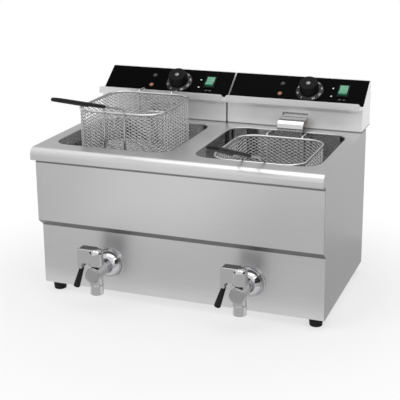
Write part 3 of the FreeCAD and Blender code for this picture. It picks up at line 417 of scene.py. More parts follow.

# Painted light and shade: one stainless sheet in copies of different brightness, darker on the side panels
# and lighter on the head casing and the rail, for how light falls on them.
FRONT_STEEL = BrushedSheet("brushed_steel_across", "stainless", (0.64, 0.64, 0.64), 0.34, Grain.ACROSS)
SIDE_STEEL = BrushedSheet("brushed_steel_deep", "stainless", (0.5, 0.5, 0.5), 0.36, Grain.DEEP)
HEAD_STEEL = BrushedSheet("brushed_head_steel", "stainless", (0.95, 0.95, 0.95), 0.58, Grain.ACROSS)
RAIL_STEEL = BrushedSheet("brushed_rail_steel", "stainless", (0.92, 0.92, 0.92), 0.42, Grain.ACROSS)
SHEATH = HeatedSheath("element_sheath", "element_sheath", (0.26, 0.26, 0.27), 0.35)
CALM, FINE_WIRE = replace(POLISHED, depth=1.0e-4), replace(PLATED, film=(200.0, 3.0))
KNOB_GRAIN = replace(MOULDED, relief=(1400.0, 2.0), depth=1.2e-5, specular=0.06)
DIP_GRAIN = replace(MOULDED, relief=(420.0, 2.0), depth=3.0e-5)
RUBBER_GRAIN = replace(MOULDED, relief=(1100.0, 2.0), depth=4.0e-5)
TANK_STEEL = Coat("polished_tank_steel", "polished_steel", (0.58, 0.58, 0.58), 0.12, POLISHED)
HOOD_STEEL = Coat("polished_hood_steel", "polished_steel", (0.6, 0.6, 0.6), 0.16, CALM)
TAP_CHROME = Coat("tap_chrome", "chrome", (0.58, 0.58, 0.59), 0.1, PLATED)
CAP_CHROME = Coat("satin_cap_chrome", "chrome", (0.42, 0.42, 0.42), 0.3, PLATED)
DIAL_STEEL = Coat("dark_dial_steel", "chrome", (0.03, 0.03, 0.03), 0.26, PLATED)
CAP_SILVER = Coat("knob_cap_silver", "chrome", (0.2, 0.2, 0.2), 0.2, PLATED)
BASKET_WIRE = Coat("basket_wire", "steel_wire", (0.6, 0.6, 0.6), 0.22, FINE_WIRE)
BRASS = Coat("plain_brass", "brass", (0.62, 0.44, 0.18), 0.3, PLATED)
ZINC = Coat("zinc_plate", "zinc_screws", (0.55, 0.56, 0.58), 0.35, PLATED)
CASE_PLASTIC = Coat("thermostat_plastic", "thermostat_case", (0.66, 0.62, 0.5), 0.5, MOULDED)
PANEL_FILM = Coat("panel_film", "panel_black", (0.0016, 0.0016, 0.0018), 0.16, GLOSSY)
KNOB_PLASTIC = Coat("knob_plastic", "knob_black", (0.007, 0.007, 0.008), 0.42, KNOB_GRAIN)
GRIP_DIP = Coat("dipped_grip", "grip_black", (0.014, 0.014, 0.014), 0.45, DIP_GRAIN)
FOOT_RUBBER = Coat("foot_rubber", "foot_rubber", (0.014, 0.014, 0.014), 0.65, RUBBER_GRAIN)
KEY_GREEN = Coat("rocker_green", "rocker_green", (0.065, 0.29, 0.165), 0.24, TINTED)
LENS_ORANGE = Coat("lamp_orange", "lamp_orange", (0.34, 0.13, 0.07), 0.24, TINTED)
LENS_GREY = Coat("lamp_grey", "lamp_grey", (0.012, 0.012, 0.013), 0.28, TINTED)
WHITE_INK = Coat("white_ink", "", (0.8, 0.8, 0.8), 0.5, PRINTED)
GREY_INK = Coat("grey_ink", "", (0.30, 0.30, 0.30), 0.5, PRINTED)


def swept(centre: Vector, first: Vector, last: Vector, sweep: float, steps: int) -> list[Vector]:
    """Draw an arc about a centre from one spoke to another.

    Args:
        centre: The centre.
        first: Spoke to the first point.
        last: Spoke to the last point.
        sweep: Angle between the spokes.
        steps: Pieces in the arc.

    Returns:
        Points along the arc.
    """
    points = []
    for step in range(steps + 1):
        share = step / steps
        spoke = first * math.sin((1 - share) * sweep) + last * math.sin(share * sweep)
        points.append(centre + spoke / math.sin(sweep))
    return points


def eased(corners: Iterable[Sequence[float]], radii: float | Sequence[float], steps: int = 5) -> list[Vector]:
    """Round the inner corners of an open path with arcs.

    Args:
        corners: The path's corners, flat or in space.
        radii: One bend radius, or one for each inner corner.
        steps: Pieces in each arc.

    Returns:
        Points along the rounded path.
    """
    spots = [Vector(corner) for corner in corners]
    bends = [radii] * (len(spots) - 2) if isinstance(radii, float) else radii
    path = [spots[0]]
    for before, corner, after, radius in zip(spots, spots[1:], spots[2:], bends):
        inward = (before - corner).normalized()
        onward = (after - corner).normalized()
        half = inward.angle(onward) / 2
        centre = corner + (inward + onward).normalized() * (radius / math.sin(half))
        reach = radius / math.tan(half)
        first, last = corner + inward * reach - centre, corner + onward * reach - centre
        path += swept(centre, first, last, math.pi - 2 * half, steps)
    return path + [spots[-1]]


def bowed(begin: Spot, end: Spot, radius: float, steps: int = 10) -> list[Vector]:
    """Draw an arc that bulges to the right of the way from begin to end.

    Args:
        begin: First point.
        end: Last point.
        radius: Radius of the arc.
        steps: Pieces in the arc.

    Returns:
        Points from begin to end.
    """
    first, last = Vector(begin), Vector(end)
    chord = last - first
    normal = Vector((chord.y, -chord.x)).normalized()
    depth = math.sqrt(radius**2 - chord.length_squared / 4)
    centre = (first + last) / 2 - normal * depth
    first, last = first - centre, last - centre
    return swept(centre, first, last, first.angle(last), steps)


def ring(centre: Vector, size: Spot, corner: float, level: float, steps: int = 10) -> list[Vector]:
    """Draw a level rounded rectangle.

    Args:
        centre: Its centre.
        size: Its width along X and length along Y.
        corner: Corner radius.
        level: Height.
        steps: Pieces in each corner.

    Returns:
        Its points, counter-clockwise.
    """
    points = []
    for quarter, (right, back) in enumerate(((1, 1), (-1, 1), (-1, -1), (1, -1))):
        x = centre.x + right * (size[0] / 2 - corner)
        y = centre.y + back * (size[1] / 2 - corner)
        for step in range(steps + 1):
            angle = (quarter + step / steps) * QUARTER
            points.append(Vector((x + corner * math.cos(angle), y + corner * math.sin(angle), level)))
    return points


def corners_of(made: Iterable[object]) -> list[bmesh.types.BMVert]:
    """Pick the vertices out of what an operator made."""
    return [item for item in made if isinstance(item, bmesh.types.BMVert)]


class Shape:
    """A mesh that operators are shaping."""

    def __init__(self) -> None:
        """Start with an empty mesh."""
        self.mesh = bmesh.new()

    def chain(self, points: Iterable[Sequence[float]], closed: bool = False) -> list[bmesh.types.BMEdge]:
        """Draw edges through points.

        Args:
            points: The points.
            closed: Whether the last joins the first.

        Returns:
            The edges in order.
        """
        spots = [self.mesh.verts.new(point) for point in points]
        pairs = list(zip(spots, spots[1:]))
        if closed:
            pairs.append((spots[-1], spots[0]))
        return [self.mesh.edges.new(pair) for pair in pairs]

    def settle(self, before: set[bmesh.types.BMVert], place: Matrix) -> Shape:
        """Merge, orient and place everything that was made since.

        Args:
            before: Vertices that were there already.
            place: Where the new ones go.

        Returns:
            This shape.
        """
        fresh = [vert for vert in self.mesh.verts if vert not in before]
        bmesh.ops.remove_doubles(self.mesh, verts=fresh, dist=MERGE)
        fresh = [vert for vert in self.mesh.verts if vert not in before]
        faces = {face for vert in fresh for face in vert.link_faces}
        bmesh.ops.recalc_face_normals(self.mesh, faces=list(faces))
        return self.move(place, fresh)

    def move(self, place: Matrix, verts: Sequence[bmesh.types.BMVert] = ()) -> Shape:
        """Transform some vertices, or all of them."""
        bmesh.ops.transform(self.mesh, matrix=place, verts=verts or self.mesh.verts[:])
        return self

    def turn(
        self, profile: Iterable[Sequence[float]], place: Matrix, steps: int = 48, closed: bool = False
    ) -> Shape:
        """Spin a profile of radius and height about Z.

        Args:
            profile: Points of radius and height.
            place: Where the turned form goes.
            steps: Pieces round the form.
            closed: Whether the profile is a closed loop off the axis.

        Returns:
            This shape.
        """
        before = set(self.mesh.verts)
        edges = self.chain([(radius, 0.0, height) for radius, height in profile], closed)
        spots = list({vert for edge in edges for vert in edge.verts})
        bmesh.ops.spin(
            self.mesh, geom=spots + edges, cent=(0, 0, 0), axis=(0, 0, 1), angle=math.tau, steps=steps,
            use_merge=True,
        )
        return self.settle(before, place)

    def slab(self, outline: Iterable[Sequence[float]], along: Point, place: Matrix) -> Shape:
        """Fill a flat closed outline and pull it out.

        Args:
            outline: Points of the outline.
            along: How far and which way it is pulled.
            place: Where the slab goes.

        Returns:
            This shape.
        """
        before = set(self.mesh.verts)
        edges = self.chain(outline, closed=True)
        face = bmesh.ops.contextual_create(self.mesh, geom=edges)["faces"]
        pulled = bmesh.ops.extrude_face_region(self.mesh, geom=face)["geom"]
        bmesh.ops.translate(self.mesh, verts=corners_of(pulled), vec=along)
        return self.settle(before, place)

    def draw(self, edges: Sequence[bmesh.types.BMEdge], along: Point) -> list:
        """Pull free edges straight out.

        Args:
            edges: The edges.
            along: How far and which way.

        Returns:
            The new vertices, edges and faces.
        """
        pulled = bmesh.ops.extrude_edge_only(self.mesh, edges=edges)["geom"]
        bmesh.ops.translate(self.mesh, verts=corners_of(pulled), vec=along)
        return pulled

    def fold(self, profile: Iterable[Sequence[float]], low: float, high: float, outward: Point) -> Shape:
        """Pull a profile of Y and Z along X into a bare sheet.

        Args:
            profile: Points of the profile.
            low: Where the sheet starts in X.
            high: Where it ends.
            outward: Way that its largest face points.

        Returns:
            This shape.
        """
        self.draw(self.chain([(low, y, z) for y, z in profile]), (high - low, 0.0, 0.0))
        return self.orient(outward)

    def orient(self, outward: Point) -> Shape:
        """Turn an open sheet's faces so that its largest one points a given way.

        Args:
            outward: The way.

        Returns:
            This shape.
        """
        bmesh.ops.recalc_face_normals(self.mesh, faces=self.mesh.faces[:])
        largest = max(self.mesh.faces, key=lambda face: face.calc_area())
        if largest.normal.dot(Vector(outward)) < 0:
            bmesh.ops.reverse_faces(self.mesh, faces=self.mesh.faces[:])
        return self

    def bridge(self, rings: Iterable[Sequence[Vector]]) -> list[list[bmesh.types.BMEdge]]:
        """Draw closed rings and bridge each to the next.

        Args:
            rings: Rings with as many points each.

        Returns:
            The rings' edges.
        """
        loops = [self.chain(points, closed=True) for points in rings]
        for first, second in zip(loops, loops[1:]):
            bmesh.ops.bridge_loops(self.mesh, edges=first + second)
        return loops

    def round_off(self, geometry: list, width: float, segments: int, affect: str = "EDGES") -> Shape:
        """Round given edges or vertices."""
        bmesh.ops.bevel(
            self.mesh, geom=geometry, offset=width, offset_type="OFFSET", affect=affect, segments=segments,
            profile=0.5, material=-1, clamp_overlap=True,
        )
        return self

    def bevel(self, width: float, segments: int = 2, sharp: float = 30.0) -> Shape:
        """Round every edge that is sharper than an angle.

        Args:
            width: Width of the rounding.
            segments: Pieces in the rounding.
            sharp: The angle in degrees.

        Returns:
            This shape.
        """
        limit = math.radians(sharp)
        edges = [edge for edge in self.mesh.edges if edge.is_manifold and edge.calc_face_angle(0.0) > limit]
        return self.round_off(edges, width, segments)

    def cast(self, voxel: float, passes: int) -> Shape:
        """Weld overlapping forms into one skin with eased corners, as a casting has.

        Args:
            voxel: Cell of the new skin.
            passes: Rounds of smoothing.

        Returns:
            The new shape.
        """
        rough = add_object(self, "rough_casting")
        skin = rough.modifiers.new("skin", "REMESH")
        skin.mode = "VOXEL"
        skin.voxel_size = voxel
        welded = taken(rough)
        for _ in range(passes):
            bmesh.ops.smooth_vert(
                welded.mesh, verts=welded.mesh.verts[:], factor=0.5,
                use_axis_x=True, use_axis_y=True, use_axis_z=True,
            )
        return welded


def linked(name: str, data: bpy.types.ID) -> bpy.types.Object:
    """Put new data into the scene as an object.

    Args:
        name: The object's name.
        data: Its mesh, curve, text, light or camera.

    Returns:
        The object.
    """
    made = bpy.data.objects.new(name, data)
    bpy.context.scene.collection.objects.link(made)
    return made


def add_object(shape: Shape, name: str) -> bpy.types.Object:
    """Turn a shape into an object of the scene and free it.

    Args:
        shape: The finished shape.
        name: The object's name.

    Returns:
        The object.
    """
    data = bpy.data.meshes.new(name)
    shape.mesh.to_mesh(data)
    shape.mesh.free()
    return linked(name, data)


def taken(source: bpy.types.Object) -> Shape:
    """Take an object's evaluated mesh as a shape and delete the object.

    Args:
        source: A mesh, curve or text object.

    Returns:
        The shape.
    """
    bpy.context.view_layer.update()
    settled = source.evaluated_get(bpy.context.evaluated_depsgraph_get())
    data = bpy.data.meshes.new_from_object(settled)
    shape = Shape()
    shape.mesh.from_mesh(data)
    bpy.data.meshes.remove(data)
    bpy.data.objects.remove(source)
    return shape


def joined(shapes: Iterable[Shape]) -> Shape:
    """Put several shapes into one mesh and free them.

    Args:
        shapes: The shapes.

    Returns:
        The whole.
    """
    whole = Shape()
    for shape in shapes:
        data = bpy.data.meshes.new("part")
        shape.mesh.to_mesh(data)
        shape.mesh.free()
        whole.mesh.from_mesh(data)
        bpy.data.meshes.remove(data)
    return whole


def copied(node: str, flat: float = 0.4) -> Shape:
    """Copy a CAD node's mesh, merge it and clear its flat faces of needless edges.

    Args:
        node: The node.
        flat: Angle in degrees up to which two faces count as one.

    Returns:
        The copy.
    """
    shape = Shape()
    mesh = shape.mesh
    mesh.from_mesh(frame["nodes"][node].data)
    bmesh.ops.remove_doubles(mesh, verts=mesh.verts[:], dist=MERGE)
    bmesh.ops.dissolve_limit(mesh, angle_limit=math.radians(flat), verts=mesh.verts[:], edges=mesh.edges[:])
    return shape


def keep(
    shape: Shape, name: str, body: str, finish: Finish, replaces: Sequence[str] = (), crease: float = 35.0
) -> bpy.types.Object:
    """Put a finished piece into the scene on its body, with its finish, and hide the CAD nodes that it stands
    for.

    Args:
        shape: Its mesh, in place.
        name: Its name.
        body: The body that it rides on.
        finish: Its surface.
        replaces: CAD nodes that it stands for.
        crease: Angle in degrees above which an edge stays sharp.

    Returns:
        The piece.
    """
    piece = add_object(shape, name)
    piece.data.materials.append(material_of(finish))
    piece.data.shade_smooth()
    piece.data.set_sharp_from_angle(angle=math.radians(crease))
    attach(piece, body)
    if replaces:
        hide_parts(*replaces)
    log.info("%s rides on %s", name, body)
    return piece


def walled(piece: bpy.types.Object, thickness: float, edge: float = 0.0) -> None:
    """Give a bare sheet its thickness behind the face, and eased edges.

    Args:
        piece: The sheet.
        thickness: Its thickness.
        edge: Radius of its edges.
    """
    wall = piece.modifiers.new("wall", "SOLIDIFY")
    wall.thickness = thickness
    wall.offset = -1.0
    wall.use_even_offset = True
    if edge:
        round_over = piece.modifiers.new("edge", "BEVEL")
        round_over.width = edge
        round_over.segments = 2
        round_over.limit_method = "ANGLE"
        round_over.angle_limit = math.radians(SQUARE_EDGE)
    evened(piece)


def evened(piece: bpy.types.Object) -> None:
    """Let large faces set the shading, so that flat sheet looks flat."""
    even = piece.modifiers.new("even", "WEIGHTED_NORMAL")
    even.keep_sharp = True


def trimmed(node: str, suffix: str, body: str, finish: Finish, width: float, segments: int = 2) -> None:
    """Replace a CAD node by its own form with rounded edges of a width."""
    evened(keep(copied(node).bevel(width, segments), f"{node}_{suffix}", body, finish, [node]))


def carry(node: str, finish: Finish) -> None:
    """Give a CAD node that stays in view its finish.

    Args:
        node: The node.
        finish: Its surface.
    """
    data = frame["nodes"][node].data
    data.materials.clear()
    data.materials.append(material_of(finish))
    log.info("%s keeps its CAD shape", node)


class Wires:
    """Round wires that become one mesh."""

    def __init__(self, radius: float, fineness: int = 1) -> None:
        """Start a set of wires.

        Args:
            radius: The wires' radius.
            fineness: How round their section is.
        """
        self.curve = bpy.data.curves.new("wires", "CURVE")
        self.curve.dimensions = "3D"
        self.curve.bevel_depth = radius
        self.curve.bevel_resolution = fineness
        self.curve.use_fill_caps = True

    def add(self, points: Sequence[Vector], closed: bool = False, tips: Sequence[float] = ()) -> None:
        """Add one wire.

        Args:
            points: Points along it.
            closed: Whether it is a ring.
            tips: Factors of its radius at its first and last points, from the end inwards.
        """
        spline = self.curve.splines.new("POLY")
        spline.points.add(len(points) - 1)
        spline.use_cyclic_u = closed
        spline.use_smooth = True
        for knot, point in zip(spline.points, points):
            knot.co = (*point, 1.0)
        for index, factor in enumerate(tips):
            spline.points[index].radius = factor
            spline.points[-1 - index].radius = factor

    def shape(self) -> Shape:
        """Turn the wires into a mesh."""
        return taken(linked("wires", self.curve))


def lettering(words: str, height: float, thickness: float, place: Matrix) -> Shape:
    """Make flat letters.

    Args:
        words: The text.
        height: Size of the letters.
        thickness: How far they stand up.
        place: Where their centre goes.

    Returns:
        The shape.
    """
    text = bpy.data.curves.new("letters", "FONT")
    text.body = words
    text.size = height
    text.extrude = thickness / 2
    text.align_x = "CENTER"
    text.align_y = "CENTER"
    text.resolution_u = 3
    return taken(linked("letters", text)).move(place)


def joint(name: str) -> dict[str, object]:
    """Return a joint of the frame by name."""
    return next(item for item in frame["joints"] if item["name"] == name)


@dataclass
class Tank:
    """One drawn oil tank."""

    side: Side
    wall: float = 0.001
    rim: float = 0.009
    corner: float = 0.036
    floor_radius: float = 0.018
    floor_steps: int = 8
    drain_radius: float = 0.008
    pipe_radius: float = 0.010
    tuck: float = 0.0001

    def __post_init__(self) -> None:
        """Find the tank in the frame."""
        self.node = self.side.own("tank")
        self.low, self.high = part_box(self.node)
        self.middle = (self.low + self.high) / 2

    def outline(self, grow: float, level: float) -> list[Vector]:
        """Draw the wall's inner outline at a height.

        Args:
            grow: How far outside the wall it runs.
            level: The height.

        Returns:
            Its points, counter-clockwise.
        """
        width = self.high.x - self.low.x - 2 * self.rim
        length = self.high.y - self.low.y - 2 * self.rim
        return ring(self.middle, (width + 2 * grow, length + 2 * grow), self.corner + grow, level)

    def build(self) -> None:
        """Bridge rings down the wall and round to the floor, and fill the floor round the drain."""
        top, floor = self.high.z - self.tuck, self.low.z + self.wall
        levels = [(self.rim - self.wall, top), (0.0, top)]
        for step in range(self.floor_steps + 1):
            angle = step / self.floor_steps * QUARTER
            inset, rise = 1 - math.cos(angle), 1 - math.sin(angle)
            levels.append((-self.floor_radius * inset, floor + self.floor_radius * rise))
        shape = Shape()
        loops = shape.bridge(self.outline(grow, level) for grow, level in levels)
        drain_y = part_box("drain_pipes")[1].y - self.pipe_radius
        spot = Matrix.Translation((self.middle.x, drain_y, floor))
        circle = bmesh.ops.create_circle(
            shape.mesh, cap_ends=False, radius=self.drain_radius, segments=32, matrix=spot
        )
        hole = list({edge for vert in circle["verts"] for edge in vert.link_edges})
        bmesh.ops.triangle_fill(shape.mesh, use_beauty=True, edges=loops[-1] + hole)
        shape.orient((0, 0, 1))
        walled(keep(shape, f"{self.node}_drawn", "body", TANK_STEEL, [self.node], crease=60.0), self.wall)


@dataclass
class Casing:
    """Sheet-metal body: top plate, panels and feet."""

    sheet: float = 0.0012
    lip_radius: float = 0.014
    lip_steps: int = 12
    hem_radius: float = 0.0024
    lip_overhang: float = 0.020
    drawn_radius: float = 0.003
    drawn_steps: int = 5
    seam: float = 0.0002
    step_low: float = 0.147
    step_high: float = 0.1605
    # Height of the painted shadow line under the top plate's lip.
    shade: float = 0.0085
    bend: float = 0.0022
    edge: float = 0.0004
    foot_radius: float = 0.0145
    foot_taper: float = 0.002
    foot_recess: float = 0.006
    foot_recess_depth: float = 0.009
    foot_edge: float = 0.0015

    def build(self) -> None:
        """Make every piece of the casing."""
        self.top_plate()
        self.front_panel()
        for node in ("left_side_panel", "right_side_panel"):
            trimmed(node, "sheet", "body", SIDE_STEEL, self.edge)
        trimmed("rear_panel", "sheet", "body", FRONT_STEEL, self.edge)
        carry("base_plate", FRONT_STEEL)
        carry("foot_screws", ZINC)
        self.feet()

    def top_plate(self) -> None:
        """Fill the flat round both openings, draw their rims down and roll the front lip."""
        low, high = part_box("top_plate")
        shape = Shape()
        fold, hem = low.y + self.lip_radius, low.z + self.hem_radius
        corners = [(low.x, fold), (high.x, fold), (high.x, high.y), (low.x, high.y)]
        border = shape.chain([(x, y, high.z) for x, y in corners], closed=True)
        fill = list(border)
        for side in Side:
            fill += self.drawn_rim(shape, side, high.z)
        bmesh.ops.triangle_fill(shape.mesh, use_beauty=True, edges=fill)
        front, bottom = border[0], high.z - self.lip_radius
        rolled = self.roll(shape, [front, *front.verts], (fold, bottom))
        dropped = self.draw(shape, rolled, (0.0, 0.0, hem - bottom))
        hemmed = self.roll(shape, dropped, (low.y + self.hem_radius, hem))
        self.draw(shape, hemmed, (0.0, self.lip_overhang - self.hem_radius, 0.0))
        shape.orient((0, 0, 1))
        walled(keep(shape, "top_plate_sheet", "body", FRONT_STEEL, ["top_plate"]), self.sheet)

    def drawn_rim(self, shape: Shape, side: Side, level: float) -> list[bmesh.types.BMEdge]:
        """Curl the plate's edge down into one tank.

        Args:
            shape: The plate.
            side: Which tank.
            level: Height of the plate's face.

        Returns:
            The edges of the rim's upper ring.
        """
        tank = Tank(side)
        rings = []
        for step in range(self.drawn_steps + 1):
            angle = step / self.drawn_steps * QUARTER
            grow = self.drawn_radius * (1 - math.sin(angle)) - self.seam
            rings.append(tank.outline(grow, level - self.drawn_radius * (1 - math.cos(angle))))
        return shape.bridge(rings)[0]

    def roll(self, shape: Shape, free: list, centre: Spot) -> list:
        """Bend a free edge with its ends a quarter turn forward and down.

        Args:
            shape: The sheet.
            free: The edge and its ends.
            centre: Y and Z of the line along X that it turns about.

        Returns:
            The new edge and its ends.
        """
        return bmesh.ops.spin(
            shape.mesh, geom=free, cent=(0.0, *centre), axis=(1, 0, 0), angle=QUARTER, steps=self.lip_steps
        )["geom_last"]

    def draw(self, shape: Shape, free: list, along: Point) -> list:
        """Pull a free edge straight out.

        Args:
            shape: The sheet.
            free: The edge and its ends.
            along: How far and which way.

        Returns:
            The new edge and its ends.
        """
        pulled = shape.draw([item for item in free if isinstance(item, bmesh.types.BMEdge)], along)
        ends = corners_of(pulled)
        edges = [item for item in pulled if isinstance(item, bmesh.types.BMEdge)]
        return [edge for edge in edges if set(edge.verts) == set(ends)] + ends

    def front_panel(self) -> None:
        """Fold the stepped front, with painted shade over its step and a painted shadow line under the lip.
        """
        low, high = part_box("front_panel")
        front = high.y - self.sheet
        corners = [(front, low.z), (front, self.step_low), (low.y, self.step_high), (low.y, high.z)]
        shape = Shape().fold(eased(corners, self.bend), low.x, high.x, (0, -1, 0))
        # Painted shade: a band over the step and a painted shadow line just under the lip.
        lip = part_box("top_plate")[0].z
        seams = ((self.step_low, self.step_high), (lip - self.shade, lip))
        shaded = replace(FRONT_STEEL, name="brushed_front_steel_painted_shade", seams=seams)
        walled(keep(shape, "front_panel_sheet", "body", shaded, ["front_panel"]), self.sheet)

    def feet(self) -> None:
        """Turn the four rubber feet."""
        low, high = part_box("rubber_feet")
        radius, recess, edge = self.foot_radius, self.foot_recess, self.foot_edge
        corners = [
            (0.0, self.foot_recess_depth), (recess, self.foot_recess_depth), (recess, 0.0),
            (radius - self.foot_taper, 0.0), (radius, high.z), (0.0, high.z),
        ]
        profile = eased(corners, [edge / 2, edge / 2, edge, edge / 3])
        shape = Shape()
        for x in (low.x + radius, high.x - radius):
            for y in (low.y + radius, high.y - radius):
                shape.turn(profile, Matrix.Translation((x, y, 0.0)))
        keep(shape, "rubber_feet_turned", "body", FOOT_RUBBER, ["rubber_feet"])


@dataclass
class DrainTap:
    """One chrome drain tap with its quarter-turn lever."""

    side: Side
    sheet: float = 0.0012
    flange_radius: float = 0.033
    flange_step: float = 0.0025
    dome_height: float = 0.020
    dome_top: float = 0.0165
    tail_radius: float = 0.0125
    tail_gap: float = 0.0003
    barrel_radius: float = 0.0155
    barrel_length: float = 0.034
    cap_radius: float = 0.015
    cap_thickness: float = 0.004
    cap_dish: float = 0.0004
    cap_land: Spot = (0.86, 0.8)
    cap_edges: tuple[float, ...] = (0.0003, 0.0012, 0.0004, 0.0003)
    spout_radius: float = 0.0135
    spout_neck: float = 0.013
    spout_lip: float = 0.020
    spout_bore: float = 0.010
    spout_drop: float = 0.044
    spout_bore_depth: float = 0.016
    neck_radius: float = 0.010
    neck_top: float = 0.017
    hub_radius: float = 0.015
    hub_bottom: float = 0.017
    hub_pocket: float = 0.011
    hub_pocket_top: float = 0.025
    hub_edge: float = 0.009
    hub_lip: float = 0.0008
    lever_top: float = 0.051
    lever_reach: float = 0.036
    lever_width: float = 0.022
    leg_width: float = 0.009
    leg_bottom: float = 0.009
    leg_edge: float = 0.001
    web_bottom: float = 0.021
    web_corner: float = 0.004
    grip_lean: float = 18.0
    grip_length: float = 0.046
    grip_tuck: float = 0.0005
    grip_edges: Spot = (0.0012, 0.0022)
    grip_top_radius: float = 0.0045
    grip_bottom_radius: float = 0.0068
    casting_cell: float = 0.0006
    casting_passes: int = 6
    casting_steps: int = 72
    nut_edge: float = 0.0004

    def __post_init__(self) -> None:
        """Find the stem and the panel's face in the frame."""
        self.stem = Vector(joint(self.side.own("lever_turn"))["pos_m"])
        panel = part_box("front_panel")[1].y - self.sheet
        self.reach = panel - self.stem.y
        self.out = Matrix.Translation((self.stem.x, panel, self.stem.z)) @ Matrix.Rotation(QUARTER, 4, "X")
        self.up = Matrix.Translation(self.stem)
        self.down = self.up @ Matrix.Rotation(math.pi, 4, "X")

    def escutcheon(self) -> Shape:
        """Turn the domed wall flange.

        Returns:
            The flange.
        """
        bore, step, outer = self.tail_radius + self.tail_gap, self.flange_step, self.flange_radius
        corners = [(bore, 0.0), (outer, 0.0), (outer, step), (outer - step, step), (outer - step, 2 * step)]
        edges = eased(corners, [step / 8, step / 2.5, step / 8], steps=3)
        dome = bowed((outer - 2 * step, 2 * step), (self.dome_top, self.dome_height), outer)
        return Shape().turn([*edges, *dome, (bore, self.dome_height)], self.out, steps=64, closed=True)

    def cap(self) -> Shape:
        """Turn the barrel's front cap with a shallow dished face.

        Returns:
            The cap.
        """
        radius, front = self.cap_radius, self.reach + self.barrel_length / 2
        face = front + self.cap_thickness
        dish = face - self.cap_dish
        land, well = self.cap_land
        corners = [
            (0.0, front), (radius, front), (radius, face), (radius * land, face), (radius * well, dish),
            (0.0, dish),
        ]
        return Shape().turn(eased(corners, self.cap_edges, steps=4), self.out, steps=56)

    def valve_body(self) -> None:
        """Weld tail, barrel, spout and neck into one casting."""
        back, front = self.reach - self.barrel_length / 2, self.reach + self.barrel_length / 2
        tail, barrel, neck, top = self.tail_radius, self.barrel_radius, self.neck_radius, self.neck_top
        waist, spout, bore, end = self.spout_neck, self.spout_radius, self.spout_bore, self.spout_drop
        lip, well = end - self.spout_lip, end - self.spout_bore_depth
        across = [(0.0, 0.0), (tail, 0.0), (tail, back), (barrel, back), (barrel, front), (0.0, front)]
        below = [
            (0.0, 0.0), (waist, 0.0), (waist, lip), (spout, lip), (spout, end), (bore, end), (bore, well),
            (0.0, well),
        ]
        above = [(0.0, 0.0), (neck, 0.0), (neck, top), (0.0, top)]
        shape = Shape()
        for profile, place in ((across, self.out), (below, self.down), (above, self.up)):
            shape.turn(profile, place, self.casting_steps)
        self.casting(shape, "valve_body", "body")

    def casting(self, shape: Shape, name: str, body: str) -> None:
        """Weld the overlapping forms of one of the tap's chrome castings and keep it."""
        node, welded = self.side.own(name), shape.cast(self.casting_cell, self.casting_passes)
        keep(welded, f"{node}_casting", body, TAP_CHROME, [node], crease=180.0)

    def lever(self) -> None:
        """Weld hub, web and leg into the lever, and turn its grip."""
        top, bottom, corner = self.lever_top, self.web_bottom, self.web_corner
        rim, mouth, pocket, roof = self.hub_radius, self.hub_bottom, self.hub_pocket, self.hub_pocket_top
        hub = [(0.0, top), (rim, top), (rim, mouth), (pocket, mouth), (pocket, roof), (0.0, roof)]
        rounded_hub = eased(hub, [self.hub_edge, *[self.hub_lip] * 3], steps=6)
        far, inner, foot = -self.lever_reach, -self.lever_reach + self.leg_width, self.leg_bottom
        web = [
            (0.0, bottom), (0.0, top), (far, top), (far, foot), (inner, foot), (inner, bottom), (0.0, bottom)
        ]
        outline = eased(web, [corner / 4, corner, corner / 3, self.leg_edge, corner])
        shape = Shape().turn(rounded_hub, self.up, self.casting_steps)
        near_face = [(x, -self.lever_width / 2, z) for x, z in outline[:-1]]
        shape.slab(near_face, (0, self.lever_width, 0), self.up)
        body = self.side.own("lever")
        self.casting(shape, "drain_lever", body)
        length, tuck = self.grip_length, -self.grip_tuck
        narrow, wide = self.grip_top_radius, self.grip_bottom_radius
        corners = [(0.0, tuck), (narrow, tuck), (wide, length), (0.0, length)]
        lean = Matrix.Rotation(math.radians(self.grip_lean), 4, "Y") @ Matrix.Rotation(math.pi, 4, "X")
        place = Matrix.Translation(self.stem + Vector(((far + inner) / 2, 0.0, foot))) @ lean
        grip = Shape().turn(eased(corners, self.grip_edges), place, steps=40)
        keep(grip, self.side.own("lever_grip_moulded"), body, GRIP_DIP, [self.side.own("lever_grip")])

    def build(self) -> None:
        """Make the tap's own pieces."""
        self.valve_body()
        self.lever()
        carry(self.side.own("valve_ball"), BRASS)


def build_taps() -> None:
    """Make both taps, with the pieces that share a node on both."""
    taps = [DrainTap(side) for side in Side]
    for tap in taps:
        tap.build()
    flanges = joined([tap.escutcheon() for tap in taps])
    keep(flanges, "tap_escutcheons_turned", "body", TAP_CHROME, ["tap_escutcheons"], crease=30.0)
    caps = joined([tap.cap() for tap in taps])
    keep(caps, "valve_caps_turned", "body", CAP_CHROME, ["valve_caps"])
    nuts = copied("packing_nuts").bevel(DrainTap.nut_edge)
    keep(nuts, "packing_nuts_eased", "body", TAP_CHROME, ["packing_nuts"])
    carry("drain_pipes", BRASS)
    carry("drain_lock_nuts", BRASS)


